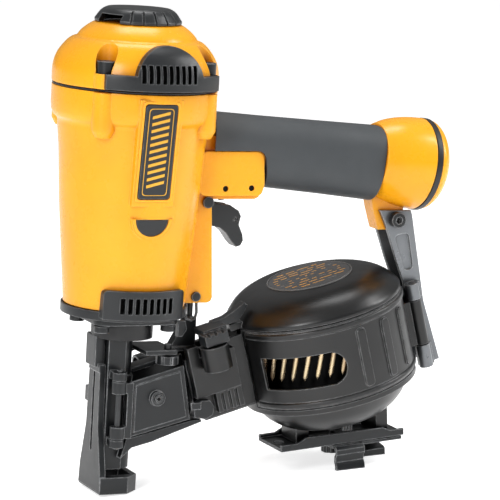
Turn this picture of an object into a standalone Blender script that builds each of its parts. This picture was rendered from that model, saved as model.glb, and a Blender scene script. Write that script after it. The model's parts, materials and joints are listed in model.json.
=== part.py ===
"""Pneumatic coil roofing nailer, built as an assembly of separate pieces.

Lengths are in millimetres and are scaled to metres by MM.  Every piece is drawn
in the tool's own axes: the drive axis is Z, the nose tip is at z = 0, X runs back
towards the handle's end and Y is across the tool.  The whole tool is then leaned
back by LEAN_DEG, the way it stands on its nose foot and shingle guide.
"""
import math

import bmesh
import bpy
from mathutils import Matrix, Vector

MM = 0.001
GAP = 0.3                   # clearance between neighbouring pieces

# Attitude of the standing tool and place of the drive axis in the part's frame
LEAN_DEG = 3.72
AXIS_X = -85.54
AXIS_Z = 0.623

# Drive axis stack: heights above the nose tip, and radii
KNOB_TOP, KNOB_BASE, KNOB_R = 265.0, 257.2, 23.6
OUTLET_DEG = 203.0         # which way the exhaust outlet faces
CAP_TOP, CAP_BASE, CAP_R = 256.9, 224.0, 45.1
BODY_TOP, BODY_BASE = 222.4, 104.0
SLEEVE_R, BORE_R = 26.8, 24.3
PISTON_TOP = 221.0
STROKE = 86.0
BUMPER_TOP = 126.0
DRIVER_R, DRIVER_TIP = 3.0, 87.0
SCREW_XY = 29.0             # cap screws stand on a square of this half side
POCKET_FLOOR = 230.5
BASE_SCREW_XY = (19.5, 18.0)

# Handle: an axis that droops to the rear from a point on the drive axis
HANDLE_Z, DROOP_DEG = 199.9, 6.3
CORE_DROP, CORE_R = 3.0, 15.0
GRIP_START, GRIP_END = 36.0, 147.4
RING_R = 26.3
END_S = 190.4

# Magazine: its axis leans forward, parallel to the collated nails' feed angle
MAG_ORIGIN, MAG_DEG = (116.1, 0.0, 102.0), 16.1
CAN_R, CAN_WALL, CAN_DEPTH = 49.5, 1.8, 49.5
WINDOW_DEG, WINDOW_W = (-158.0, -102.0), (-34.4, -15.8)
RIB_DEG, RIB_W = (-87.0, -67.0, -47.0), (-44.0, -6.0)
HINGE_UV = (55.6, -12.5)
LATCH_UV = (-72.0, -20.0)

# Nose, feed door and contact trip
DOOR_HINGE = (-6.6, -16.0)
FOOT_HALF = 15.5
ROD_X = 40.0
LATCH_PIVOT = (42.4, 43.8)
FEED_Y = 20.5
TRIGGER_PIVOT = (41.2, 160.9)
LEVER_PIVOT = (62.4, 150.0)
VALVE_X, STEM_FOOT = 55.0, 160.2

# Base rail under the magazine
RAIL_ORIGIN, RAIL_DEG, RAIL_LENGTH, RAIL_HALF = (94.3, 0.0, 19.2), 5.4, 77.3, 15.3

COLOURS = {
    "yellow": ((0.95, 0.47, 0.02), 0.35, 0.0),
    "black_plastic": ((0.02, 0.022, 0.024), 0.45, 0.0),
    "grip_rubber": ((0.07, 0.075, 0.08), 0.8, 0.0),
    "black_gloss": ((0.012, 0.013, 0.014), 0.2, 0.0),
    "black_metal": ((0.03, 0.032, 0.035), 0.4, 0.8),
    "steel": ((0.55, 0.55, 0.57), 0.3, 1.0),
    "rubber": ((0.015, 0.015, 0.015), 0.7, 0.0),
    "white_plastic": ((0.75, 0.74, 0.7), 0.4, 0.0),
    "brass_nails": ((0.65, 0.5, 0.25), 0.35, 1.0),
    "aluminium": ((0.6, 0.61, 0.62), 0.4, 1.0),
}


def fresh_collection(name):
    collection = bpy.data.collections.new(name)
    bpy.context.scene.collection.children.link(collection)
    return collection


for old in list(bpy.data.objects):
    bpy.data.objects.remove(old, do_unlink=True)
PARTS = fresh_collection("coil_nailer")
TOOLS = fresh_collection("cutters")
ROOT = bpy.data.objects.new("tool_axes", None)
PARTS.objects.link(ROOT)

TOOL = Matrix.Identity(4)


def leaned(origin, degrees):
    """A frame at origin turned about Y; positive degrees droop +X downwards."""
    return Matrix.Translation(origin) @ Matrix.Rotation(math.radians(degrees), 4, "Y")


HANDLE = leaned((0.0, 0.0, HANDLE_Z), DROOP_DEG)
MAG = leaned(MAG_ORIGIN, -MAG_DEG)
RAIL = leaned(RAIL_ORIGIN, -RAIL_DEG)
FEED = leaned((0.0, 0.0, 48.0), -MAG_DEG)
ALONG_X = Matrix.Rotation(math.radians(90.0), 4, "Y")       # turns Z to X
ALONG_Y = Matrix.Rotation(math.radians(-90.0), 4, "X")      # turns Z to Y
FLAT = ALONG_Y                                              # lays a plate in plan
SIDEWAYS = Matrix.Rotation(math.radians(90.0), 4, "Z")      # faces a plate along X


# --- shape tools -----------------------------------------------------------

def tool_object(mesh):
    """A working shape: it is drawn as wire and hidden in renders until used."""
    obj = bpy.data.objects.new("tool", mesh)
    obj.hide_render = True
    obj.display_type = "WIRE"
    TOOLS.objects.link(obj)
    return obj


def from_bmesh(bm, frame):
    bmesh.ops.transform(bm, matrix=frame, verts=bm.verts)
    bmesh.ops.scale(bm, vec=(MM, MM, MM), verts=bm.verts)
    bmesh.ops.recalc_face_normals(bm, faces=bm.faces)
    mesh = bpy.data.meshes.new("shape")
    bm.to_mesh(mesh)
    bm.free()
    return tool_object(mesh)


def bake(obj):
    """Apply the modifiers of obj to its mesh and weld coincident points."""
    bpy.context.view_layer.update()
    graph = bpy.context.evaluated_depsgraph_get()
    mesh = bpy.data.meshes.new_from_object(obj.evaluated_get(graph))
    obj.modifiers.clear()
    bm = bmesh.new()
    bm.from_mesh(mesh)
    bmesh.ops.remove_doubles(bm, verts=bm.verts, dist=0.002 * MM)
    bmesh.ops.dissolve_degenerate(bm, edges=bm.edges, dist=0.001 * MM)
    bm.to_mesh(mesh)
    bm.free()
    obj.data = mesh
    return obj


def combine(obj, operation, tools):
    for tool in tools:
        modifier = obj.modifiers.new("combine", "BOOLEAN")
        modifier.operation = operation
        modifier.solver = "EXACT"
        modifier.object = tool
    bake(obj)
    for tool in tools:
        bpy.data.objects.remove(tool, do_unlink=True)
    return obj


def cut(obj, *tools):
    return combine(obj, "DIFFERENCE", tools)


def fuse(obj, *tools):
    return combine(obj, "UNION", tools)


def common(obj, tool):
    return combine(obj, "INTERSECT", [tool])


def box(low, high, frame=TOOL, bevel=0.0):
    """A box between two corners, with its edges bevelled."""
    low, high = Vector(low), Vector(high)
    bm = bmesh.new()
    bmesh.ops.create_cube(bm, size=1.0)
    bmesh.ops.scale(bm, vec=high - low, verts=bm.verts)
    bmesh.ops.translate(bm, vec=(low + high) / 2.0, verts=bm.verts)
    if bevel:
        bmesh.ops.bevel(bm, geom=bm.edges, offset=bevel, segments=1, affect="EDGES")
    return from_bmesh(bm, frame)


def rod(base, radius, height, frame=TOOL, sides=20, top=None):
    """A cylinder or cone that stands on base and points along the frame's Z."""
    bm = bmesh.new()
    top = radius if top is None else top
    bmesh.ops.create_cone(bm, cap_ends=True, segments=sides, radius1=radius,
                          radius2=top, depth=height)
    bmesh.ops.translate(bm, vec=(0.0, 0.0, height / 2.0), verts=bm.verts)
    return from_bmesh(bm, frame @ Matrix.Translation(base))


def cross_rod(x, z, low, high, radius, sides=16, frame=TOOL):
    """A cylinder along Y at (x, z), from y = low to y = high."""
    place = frame @ Matrix.Translation((x, low, z)) @ ALONG_Y
    return rod((0.0, 0.0, 0.0), radius, high - low, place, sides)


def lathe(profile, sides=28, frame=TOOL):
    """Turn a closed loop, or an open line that ends on the axis, about Z."""
    bm = bmesh.new()
    verts = [bm.verts.new((r * MM, 0.0, z * MM)) for r, z in profile]
    for first, second in zip(verts, verts[1:]):
        bm.edges.new((first, second))
    if profile[0][0] > 0.0:
        bm.edges.new((verts[-1], verts[0]))
    mesh = bpy.data.meshes.new("profile")
    bm.to_mesh(mesh)
    bm.free()
    obj = tool_object(mesh)
    screw = obj.modifiers.new("turn", "SCREW")
    screw.steps = sides
    screw.render_steps = sides
    screw.use_merge_vertices = True
    screw.merge_threshold = 0.00001
    screw.use_normal_calculate = True
    bake(obj)
    bm = bmesh.new()
    bm.from_mesh(obj.data)
    bmesh.ops.scale(bm, vec=(1.0 / MM,) * 3, verts=bm.verts)
    bmesh.ops.remove_doubles(bm, verts=bm.verts, dist=0.001)
    bpy.data.objects.remove(obj, do_unlink=True)
    return from_bmesh(bm, frame)


def ring(inner, outer, low, high, sides=28, frame=TOOL):
    return lathe([(outer, high), (outer, low), (inner, low), (inner, high)], sides, frame)


def plate(outline, low, high, frame=TOOL):
    """An outline of (x, z) points, filled and given thickness from y = low to high."""
    curve = bpy.data.curves.new("outline", "CURVE")
    curve.dimensions = "2D"
    curve.fill_mode = "BOTH"
    curve.extrude = (high - low) / 2.0
    spline = curve.splines.new("POLY")
    spline.points.add(len(outline) - 1)
    for point, (x, z) in zip(spline.points, outline):
        point.co = (x, z, 0.0, 1.0)
    spline.use_cyclic_u = True
    obj = tool_object(curve)
    bpy.context.view_layer.update()
    graph = bpy.context.evaluated_depsgraph_get()
    mesh = bpy.data.meshes.new_from_object(obj.evaluated_get(graph))
    bpy.data.objects.remove(obj, do_unlink=True)
    bm = bmesh.new()
    bm.from_mesh(mesh)
    bmesh.ops.remove_doubles(bm, verts=bm.verts, dist=0.001)
    stand = Matrix.Translation((0.0, (low + high) / 2.0, 0.0))
    return from_bmesh(bm, frame @ stand @ Matrix.Rotation(math.radians(90.0), 4, "X"))


def rounded(points, radius, steps=4):
    """The same outline with each corner replaced by an arc."""
    result = []
    count = len(points)
    for i, corner in enumerate(points):
        here = Vector(corner)
        to_last = Vector(points[i - 1]) - here
        to_next = Vector(points[(i + 1) % count]) - here
        half = to_last.angle(to_next) / 2.0
        reach = radius / math.tan(half)
        reach = min(reach, to_last.length * 0.45, to_next.length * 0.45)
        start = here + to_last.normalized() * reach
        end = here + to_next.normalized() * reach
        for k in range(steps + 1):
            t = k / steps
            point = start * (1 - t) ** 2 + here * 2 * t * (1 - t) + end * t ** 2
            result.append((point.x, point.y))
    return result


def arc(centre, radius, start_deg, end_deg, steps):
    points = []
    for k in range(steps + 1):
        angle = math.radians(start_deg + (end_deg - start_deg) * k / steps)
        points.append((centre[0] + radius * math.cos(angle),
                       centre[1] + radius * math.sin(angle)))
    return points


def loft(rings, frame=TOOL):
    """A solid through rings that have the same number of points."""
    bm = bmesh.new()
    rows = [[bm.verts.new(point) for point in points] for points in rings]
    count = len(rows[0])
    for row, following in zip(rows, rows[1:]):
        for i in range(count):
            j = (i + 1) % count
            bm.faces.new((row[i], row[j], following[j], following[i]))
    bm.faces.new(rows[0])
    bm.faces.new(rows[-1])
    return from_bmesh(bm, frame)


def superellipse(x, centre_z, half_y, half_z, power=2.6, count=24):
    points = []
    for k in range(count):
        angle = 2.0 * math.pi * k / count
        c, s = math.cos(angle), math.sin(angle)
        y = half_y * math.copysign(abs(c) ** (2.0 / power), c)
        z = half_z * math.copysign(abs(s) ** (2.0 / power), s)
        points.append((x, y, centre_z + z))
    return points


def coil(base, radius, wire, height, turns, frame=TOOL, per_turn=8):
    """A spring of round wire standing on base."""
    curve = bpy.data.curves.new("coil", "CURVE")
    curve.dimensions = "3D"
    curve.bevel_depth = wire
    curve.bevel_resolution = 0
    curve.use_fill_caps = True
    spline = curve.splines.new("POLY")
    steps = int(turns * per_turn)
    spline.points.add(steps)
    for k in range(steps + 1):
        angle = 2.0 * math.pi * k / per_turn
        spot = (radius * math.cos(angle), radius * math.sin(angle), height * k / steps)
        spline.points[k].co = (*spot, 1.0)
    obj = tool_object(curve)
    bpy.context.view_layer.update()
    graph = bpy.context.evaluated_depsgraph_get()
    mesh = bpy.data.meshes.new_from_object(obj.evaluated_get(graph))
    bpy.data.objects.remove(obj, do_unlink=True)
    bm = bmesh.new()
    bm.from_mesh(mesh)
    bmesh.ops.remove_doubles(bm, verts=bm.verts, dist=0.001)
    return from_bmesh(bm, frame @ Matrix.Translation(base))


def material(slot):
    found = bpy.data.materials.get(slot)
    if found:
        return found
    colour, roughness, metallic = COLOURS[slot]
    made = bpy.data.materials.new(slot)
    made.use_nodes = True
    shader = made.node_tree.nodes["Principled BSDF"]
    shader.inputs["Base Color"].default_value = (*colour, 1.0)
    shader.inputs["Roughness"].default_value = roughness
    shader.inputs["Metallic"].default_value = metallic
    return made


def part(name, obj, slot, pivot=(0.0, 0.0, 0.0)):
    """Name a finished piece and put its origin on its pivot, in tool axes."""
    pivot = Vector(pivot) * MM
    mesh = obj.data
    mesh.transform(Matrix.Translation(-pivot))
    mesh.materials.clear()
    mesh.materials.append(material(slot))
    mesh.shade_smooth()
    mesh.set_sharp_from_angle(angle=math.radians(30.0))
    TOOLS.objects.unlink(obj)
    PARTS.objects.link(obj)
    obj.name = name
    obj.hide_render = False
    obj.display_type = "TEXTURED"
    obj.location = pivot
    obj.parent = ROOT
    return obj


def mirrored(name, source):
    """A copy of a left piece for the tool's right side."""
    mesh = source.data.copy()
    mesh.transform(Matrix.Diagonal((1.0, -1.0, 1.0, 1.0)))
    mesh.flip_normals()
    twin = bpy.data.objects.new(name, mesh)
    twin.location = source.location * Vector((1.0, -1.0, 1.0))
    twin.parent = ROOT
    PARTS.objects.link(twin)
    return twin


def at(frame, *point):
    return frame @ Vector(point)


def corners(half_x, half_y):
    return [(x, y) for x in (-half_x, half_x) for y in (-half_y, half_y)]


# --- cylinder cap, knob and their fittings ----------------------------------

CAP_OUTER = [(0.0, CAP_TOP), (23.2, CAP_TOP), (28.0, 253.9), (31.6, 250.4),
             (32.5, 249.0), (35.3, 247.8), (40.4, 242.9), (43.9, 236.7),
             (45.0, 231.8), (CAP_R, CAP_BASE)]


def make_cap():
    cap = lathe(CAP_OUTER + [(0.0, CAP_BASE)], 32)
    for x, y in corners(SCREW_XY, SCREW_XY):
        fuse(cap, rod((x, y, CAP_BASE + 0.2), 6.5, 8.0, sides=10))
        cut(cap, rod((x, y, POCKET_FLOOR), 5.7, 40.0, sides=10))
    cavity = lathe([(0.0, 243.5), (28.0, 243.5), (32.5, 240.0), (32.5, CAP_BASE - 1.0),
                    (0.0, CAP_BASE - 1.0)])
    cut(cap, cavity)
    cut(cap, rod((0.0, 0.0, 240.0), 12.0, 20.0))
    for x, y in corners(SCREW_XY, SCREW_XY):
        cut(cap, rod((x, y, CAP_BASE - 1.0), 2.8, 10.0, sides=8))
    part("cylinder_cap", cap, "yellow")


def make_cap_screws():
    """Socket head screws: a head in each pocket and a shank down into the body."""
    for number, (x, y) in enumerate(corners(SCREW_XY, SCREW_XY), 1):
        floor = POCKET_FLOOR + GAP
        screw = rod((x, y, floor), 5.0, 8.0, sides=12)
        fuse(screw, rod((x, y, floor - 24.0), 2.45, 24.5, sides=8))
        cut(screw, rod((x, y, floor + 4.5), 2.5, 5.0, sides=6))
        part(f"cap_screw_{number}", screw, "black_metal")


def make_gasket():
    inner = CAP_BASE - GAP
    gasket = ring(34.2, 44.7, BODY_TOP + GAP, inner)
    for x, y in corners(SCREW_XY, SCREW_XY):
        cut(gasket, rod((x, y, BODY_TOP), 3.2, 4.0, sides=10))
    part("cap_gasket", gasket, "rubber")


def make_deflector():
    """Ribbed exhaust deflector: open below, with its outlet turned a little to the left."""
    profile = [(0.0, KNOB_TOP), (17.0, KNOB_TOP), (19.4, 263.8), (KNOB_R, 258.6),
               (KNOB_R, KNOB_BASE), (0.0, KNOB_BASE)]
    knob = lathe(profile, 28)
    cut(knob, rod((0.0, 0.0, KNOB_BASE - 1.0), 19.5, 5.5, sides=32))
    outlet = Matrix.Rotation(math.radians(OUTLET_DEG), 4, "Z")
    cut(knob, box((10.0, -8.0, KNOB_BASE - 1.0), (30.0, 8.0, 261.7), outlet))
    grooves = 15
    for k in range(grooves):
        turn = outlet @ Matrix.Rotation(math.radians(40.0 + 20.0 * k), 4, "Z")
        cut(knob, box((21.9, -0.7, 256.0), (27.0, 0.7, 262.5), turn))
    part("exhaust_deflector", knob, "black_plastic")


def make_head_valve():
    valve = ring(BORE_R, 31.8, CAP_BASE + GAP, 233.0)
    fuse(valve, ring(BORE_R, 28.0, 232.0, 236.0))
    part("head_valve", valve, "aluminium")
    spring = coil((0.0, 0.0, 234.3), 30.2, 0.7, 5.0, 2.5, per_turn=12)
    part("head_valve_spring", spring, "steel")


# --- side guards -------------------------------------------------------------

def offset_profile(profile, amount):
    return [(r + amount, z) for r, z in profile]


def make_upper_guard():
    """Guard that hugs the cap's side: a band with a louvred half round hump."""
    side = [(35.3, 247.8), (40.4, 242.9), (43.9, 236.7), (45.0, 231.8), (CAP_R, 224.3)]
    outer = offset_profile(side, 4.4)
    inner = offset_profile(side, 0.4)
    shell = lathe([(outer[0][0], 250.0)] + outer + inner[::-1] + [(inner[0][0], 250.0)], 36)
    hump = arc((1.2, 229.0), 19.3, 10.0, 170.0, 10)
    outline = [(33.2, 224.5), (33.2, 232.5), (23.0, 232.5)] + hump
    outline += [(-21.0, 232.5), (-32.2, 232.5), (-32.2, 224.5)]
    common(shell, plate(outline, -60.0, -20.0))
    for x in (-SCREW_XY, SCREW_XY):
        cut(shell, rod((x, -SCREW_XY, 222.0), 6.9, 30.0, sides=16))
    for k in range(8):
        x = 1.2 + 4.0 * (k - 3.5)
        cut(shell, box((x - 1.2, -60.0, 228.8), (x + 1.2, -41.0, 238.4)))
    guard = part("upper_guard_left", shell, "black_plastic")
    mirrored("upper_guard_right", guard)


def make_lower_guard():
    """Bumper ring under the body with a louvred panel on each side."""
    guard = ring(25.0, 34.4, 98.6, BODY_BASE - GAP)
    band = [(38.3, 116.5), (38.0, 100.2), (33.0, 100.2), (33.0, 103.5), (34.2, 104.5),
            (35.1, 116.5)]
    panels = lathe(band)
    reach = rounded([(-24.0, 99.0), (21.8, 99.0), (21.8, 116.2), (-24.0, 116.2)], 2.5)
    common(panels, plate(reach, -60.0, 60.0))
    fuse(guard, panels)
    for k in range(8):
        x = -1.2 + 3.9 * (k - 3.5)
        cut(guard, box((x - 1.2, -60.0, 103.4), (x + 1.2, -34.8, 112.4)))
        cut(guard, box((x - 1.2, 34.8, 103.4), (x + 1.2, 60.0, 112.4)))
    for x, y in corners(*BASE_SCREW_XY):
        cut(guard, rod((x, y, 97.0), 3.0, 10.0, sides=10))
    part("lower_guard", guard, "black_plastic")


# --- body housing ------------------------------------------------------------

BODY_OUTER = [(0.0, BODY_TOP), (44.9, BODY_TOP), (44.6, 209.0), (43.4, 206.2),
              (41.4, 204.2), (40.8, 200.0), (37.8, 158.0),
              (35.4, 130.0), (33.5, 108.0), (33.2, BODY_BASE), (0.0, BODY_BASE)]
SIDE_LEAN = math.radians(6.2)
SIDE_PAD = Matrix.Translation((-2.2, -44.4, 222.0)) @ Matrix.Rotation(SIDE_LEAN, 4, "X")
WEB_HALF = 12.5
LABEL_HALF, LABEL_TOP, LABEL_BOTTOM = 9.1, -4.5, -55.8
MOON_X, MOON_TOP, MOON_R = 0.7, -67.2, 9.2
CORE_AXIS = HANDLE @ Matrix.Translation((0.0, 0.0, -CORE_DROP)) @ ALONG_X
BALL_PROFILE = [(0.0, 175.9), (26.1, 175.9), (25.7, 168.5), (25.0, 163.0), (24.0, 158.0),
                (22.4, 153.0), (19.9, 147.7), (0.0, 147.7)]


def web_outline():
    """Side view of the rear web and the trigger housing."""
    return [(20.0, 105.0), (44.5, 105.0), (46.6, 105.9), (47.4, 108.0), (43.9, 162.5),
            (69.6, 162.4), (72.0, 163.6), (73.6, 170.0), (73.6, 197.5), (20.0, 197.5)]


def cheek_outline():
    """Side view of the fuller part that fills the grip's notch."""
    return rounded([(34.0, 164.5), (72.0, 164.5), (73.8, 170.6), (72.4, 189.2),
                    (34.0, 189.2)], 6.0, 3)


def half_moon(radius, steps=8):
    return arc((0.0, 0.0), radius, 180.0, 360.0, steps)


def side_pad():
    """Flat sloping face on the tool's side that carries the label."""
    return loft([[(-12.4, 0.0, -2.2), (12.4, 0.0, -2.2), (12.4, 18.0, -2.2),
                  (-12.4, 18.0, -2.2)],
                 [(-12.0, 0.0, -60.0), (12.0, 0.0, -60.0), (12.0, 18.0, -60.0),
                  (-12.0, 18.0, -60.0)]], SIDE_PAD)


def moon_pad():
    outline = [(-12.0, 0.6)] + half_moon(12.0, 8) + [(12.0, 0.6)]
    return plate(outline, -0.2, 8.0, moon_frame())


def other_side(obj):
    mesh = obj.data.copy()
    mesh.transform(Matrix.Diagonal((1.0, -1.0, 1.0, 1.0)))
    mesh.flip_normals()
    return tool_object(mesh)


def label_outline(grow):
    half = LABEL_HALF + grow
    points = [(-half, LABEL_BOTTOM - grow), (half, LABEL_BOTTOM - grow),
              (half, LABEL_TOP + grow), (-half, LABEL_TOP + grow)]
    return rounded(points, 2.2, 2)


def moon_frame():
    return SIDE_PAD @ Matrix.Translation((MOON_X, 0.0, MOON_TOP))


def make_side_badges():
    label = plate(label_outline(0.0), -0.6, 0.7, SIDE_PAD)
    mirrored("label_plate_right", part("label_plate_left", label, "black_plastic"))
    moon = plate(half_moon(MOON_R), -0.2, 1.0, moon_frame())
    mirrored("side_insert_right", part("side_insert_left", moon, "black_plastic"))


def make_housing():
    body = lathe(BODY_OUTER, 32)
    pads = [side_pad(), moon_pad()]
    pads += [other_side(pad) for pad in pads]
    bosses = [lathe([(0.0, BODY_TOP - 0.2), (6.5, BODY_TOP - 0.2), (6.5, 202.0),
                     (4.4, 198.0), (0.0, 197.4)], 10,
                    Matrix.Translation((x, y, 0.0)))
              for x, y in corners(SCREW_XY, SCREW_XY)]
    web = plate(web_outline(), -WEB_HALF, WEB_HALF)
    cheeks = plate(cheek_outline(), -15.6, 15.6)
    core = rod((0.0, 0.0, 60.0), CORE_R, 92.0, CORE_AXIS, 16)
    ball = lathe(BALL_PROFILE, 24, HANDLE @ ALONG_X)
    tongue = plate([(145.0, 164.0), (166.0, 164.0), (166.4, 148.0), (161.5, 143.6),
                    (151.0, 143.6), (147.0, 155.5)], -5.6, 5.6)
    fuse(body, *pads, *bosses, web, cheeks, core, ball, tongue)
    hollow_housing(body)
    part("housing", body, "yellow")


def hollow_housing(body):
    bore = lathe([(0.0, BODY_TOP + 1.0), (29.5, BODY_TOP + 1.0), (29.5, 110.5),
                  (8.0, 110.5), (8.0, BODY_BASE - 1.0), (0.0, BODY_BASE - 1.0)])
    chamber = lathe([(0.0, 177.0), (22.4, 177.0), (22.4, 166.0), (18.0, 156.0),
                     (10.0, 153.0), (0.0, 153.0)], 16, HANDLE @ ALONG_X)
    passage = rod((0.0, 0.0, 20.0), 10.5, 140.0, CORE_AXIS, 12)
    cut(body, bore, chamber, passage)
    trigger_slot = box((33.0, -5.4, 138.0), (50.0, 5.4, 166.0))
    rod_bore = rod((ROD_X, 0.0, 100.0), 2.2, 50.0, sides=8)
    spring_bore = rod((ROD_X, 0.0, 100.0), 4.4, 37.0, sides=12)
    valve_bore = rod((VALVE_X, 0.0, 155.0), 6.3, 26.0, sides=16)
    valve_port = rod((VALVE_X, 0.0, 175.0), 2.5, 12.0, sides=8)
    pin_bore = cross_rod(*TRIGGER_PIVOT, -20.0, 20.0, 2.3, 12)
    screw_bore = cross_rod(*arm_screw_xz(), -20.0, 20.0, 2.9, 12)
    cut(body, trigger_slot, rod_bore, spring_bore, valve_bore, valve_port, pin_bore, screw_bore)
    for x, y in corners(SCREW_XY, SCREW_XY):
        cut(body, rod((x, y, 200.0), 2.8, 30.0, sides=8))
    for x, y in corners(*BASE_SCREW_XY):
        cut(body, rod((x, y, BODY_BASE - 1.0), 2.6, 5.8, sides=8))
    pins = [cross_rod(x, z, low, low + 3.0, 1.7, 8)
            for x, z in ((50.4, 168.6), (66.0, 168.9)) for low in (-17.0, 14.0)]
    cut(body, *pins)
    label = plate(label_outline(GAP), -5.0, 1.0, SIDE_PAD)
    moon = plate(half_moon(MOON_R + GAP), -5.0, 1.3, moon_frame() @
                 Matrix.Translation((0.0, 0.0, GAP / 2.0)))
    cut(body, other_side(label), label, other_side(moon), moon)


def arm_screw_xz():
    spot = at(MAG, 55.8, 0.0, 33.7)
    return spot.x, spot.z


def make_grip():
    """Rubber sleeve over the handle core, notched around the trigger housing."""
    slices = []
    for x, half_z, half_y in ((GRIP_START, 19.2, 17.0), (76.0, 19.6, 17.0),
                              (112.0, 20.3, 17.6)):
        slices.append(superellipse(x, 187.5 - 0.0884 * (x - 76.0), half_y, half_z))
    last = superellipse(GRIP_END, -2.5, 18.3, 21.1)
    slices.append([HANDLE @ Vector(point) for point in last])
    grip = loft(slices)
    notch = rounded([(20.0, 150.0), (79.5, 150.0), (72.7, 189.6), (20.0, 189.6)], 6.4, 4)
    neck = box((20.0, -WEB_HALF - GAP, 150.0), (73.9, WEB_HALF + GAP, 197.9))
    core = rod((0.0, 0.0, 20.0), CORE_R + 0.5, 160.0, CORE_AXIS, 16)
    cut(grip, plate(notch, -40.0, 40.0), neck, core)
    cut(grip, rod((0.0, 0.0, 150.0), 45.5, 80.0, sides=36))
    part("grip_sleeve", grip, "grip_rubber")


def make_handle_end():
    frame = HANDLE @ ALONG_X
    seal = ring(21.9, RING_R, 176.2, 179.4, 24, frame)
    part("end_cap_seal", seal, "rubber")
    profile = [(21.6, 171.5), (21.6, 179.7), (25.8, 179.7), (25.3, 181.8), (23.6, 184.2),
               (20.8, 186.4), (16.8, 188.4), (12.0, 189.8), (9.3, 189.8), (9.3, 180.0),
               (16.0, 179.0), (19.0, 176.0), (19.0, 171.5)]
    part("end_cap", lathe(profile, 24, frame), "yellow")
    inlet = ring(6.2, 9.0, 174.0, END_S, 20, frame)
    part("air_inlet", inlet, "steel")


# --- drive parts -------------------------------------------------------------

def make_drive():
    sleeve = ring(BORE_R, SLEEVE_R, 110.8, BODY_TOP - 0.5)
    fuse(sleeve, ring(BORE_R + 0.5, 29.2, 212.0, 216.0))
    part("cylinder_sleeve", sleeve, "aluminium")
    bumper = lathe([(BORE_R - GAP, BUMPER_TOP - 3.0), (BORE_R - GAP, 110.8), (6.5, 110.8),
                    (6.5, BUMPER_TOP), (18.0, BUMPER_TOP)], 24)
    part("piston_bumper", bumper, "rubber")
    piston = ring(2.6, BORE_R - GAP, PISTON_TOP - 8.0, PISTON_TOP, 24)
    part("drive_piston", piston, "aluminium")
    driver = rod((0.0, 0.0, DRIVER_TIP), DRIVER_R, PISTON_TOP - 8.3 - DRIVER_TIP, sides=16)
    fuse(driver, rod((0.0, 0.0, PISTON_TOP - 9.0), 2.3, 10.5, sides=16))
    part("driver_blade", driver, "steel")


# --- trigger group -----------------------------------------------------------

def trigger_outline():
    px, pz = TRIGGER_PIVOT
    nose = arc((px, pz), 4.0, 235.0, 95.0, 6)
    return nose + [(46.4, 159.6), (58.6, 158.0), (64.0, 154.8), (65.6, 151.8),
                   (64.6, 147.0), (67.2, 141.4), (67.7, 138.0), (66.2, 135.3),
                   (63.6, 134.6), (60.9, 137.3), (57.0, 142.5), (53.2, 145.4),
                   (47.5, 146.6), (43.4, 151.0)]


def make_trigger():
    px, pz = TRIGGER_PIVOT
    trigger = plate(trigger_outline(), -4.9, 4.9)
    cut(trigger, box((35.0, -2.3, 148.6), (64.6, 2.3, 170.0)))
    cut(trigger, cross_rod(px, pz, -10.0, 10.0, 2.3))
    cut(trigger, cross_rod(*LEVER_PIVOT, -10.0, 10.0, 1.4, 12))
    part("trigger", trigger, "black_plastic", (px, 0.0, pz))
    pin = cross_rod(px, pz, -13.4, 13.4, 1.95)
    for low, high in ((-14.6, -12.9), (12.9, 14.6)):
        fuse(pin, cross_rod(px, pz, low, high, 3.2, 16))
    part("trigger_pin", pin, "black_metal", (px, 0.0, pz))
    frame = Matrix.Translation((px, -1.6, pz)) @ ALONG_Y
    part("trigger_spring", coil((0.0, 0.0, 0.0), 2.6, 0.35, 3.2, 2.5, frame, 8), "steel",
         (px, 0.0, pz))
    make_trip_lever()


def make_trip_lever():
    lx, lz = LEVER_PIVOT
    bar = plate(rounded([(38.6, 150.4), (38.6, 151.9), (54.0, 156.8), (63.8, 152.2),
                         (63.8, 149.0), (58.0, 149.0)], 0.8, 2), -1.8, 1.8)
    fuse(bar, cross_rod(lx, lz, -4.7, 4.7, 1.15, 12))
    part("trip_lever", bar, "steel", (lx, 0.0, lz))


def make_trigger_valve():
    valve = rod((VALVE_X, 0.0, 161.9), 6.0, 17.2, sides=20)
    cut(valve, rod((VALVE_X, 0.0, 158.0), 2.1, 24.0, sides=12))
    part("trigger_valve", valve, "white_plastic")
    stem = rod((VALVE_X, 0.0, STEM_FOOT), 1.7, 13.5, sides=12)
    part("valve_stem", stem, "steel", (VALVE_X, 0.0, STEM_FOOT))


# --- nosepiece, trip and feed --------------------------------------------------

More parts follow.
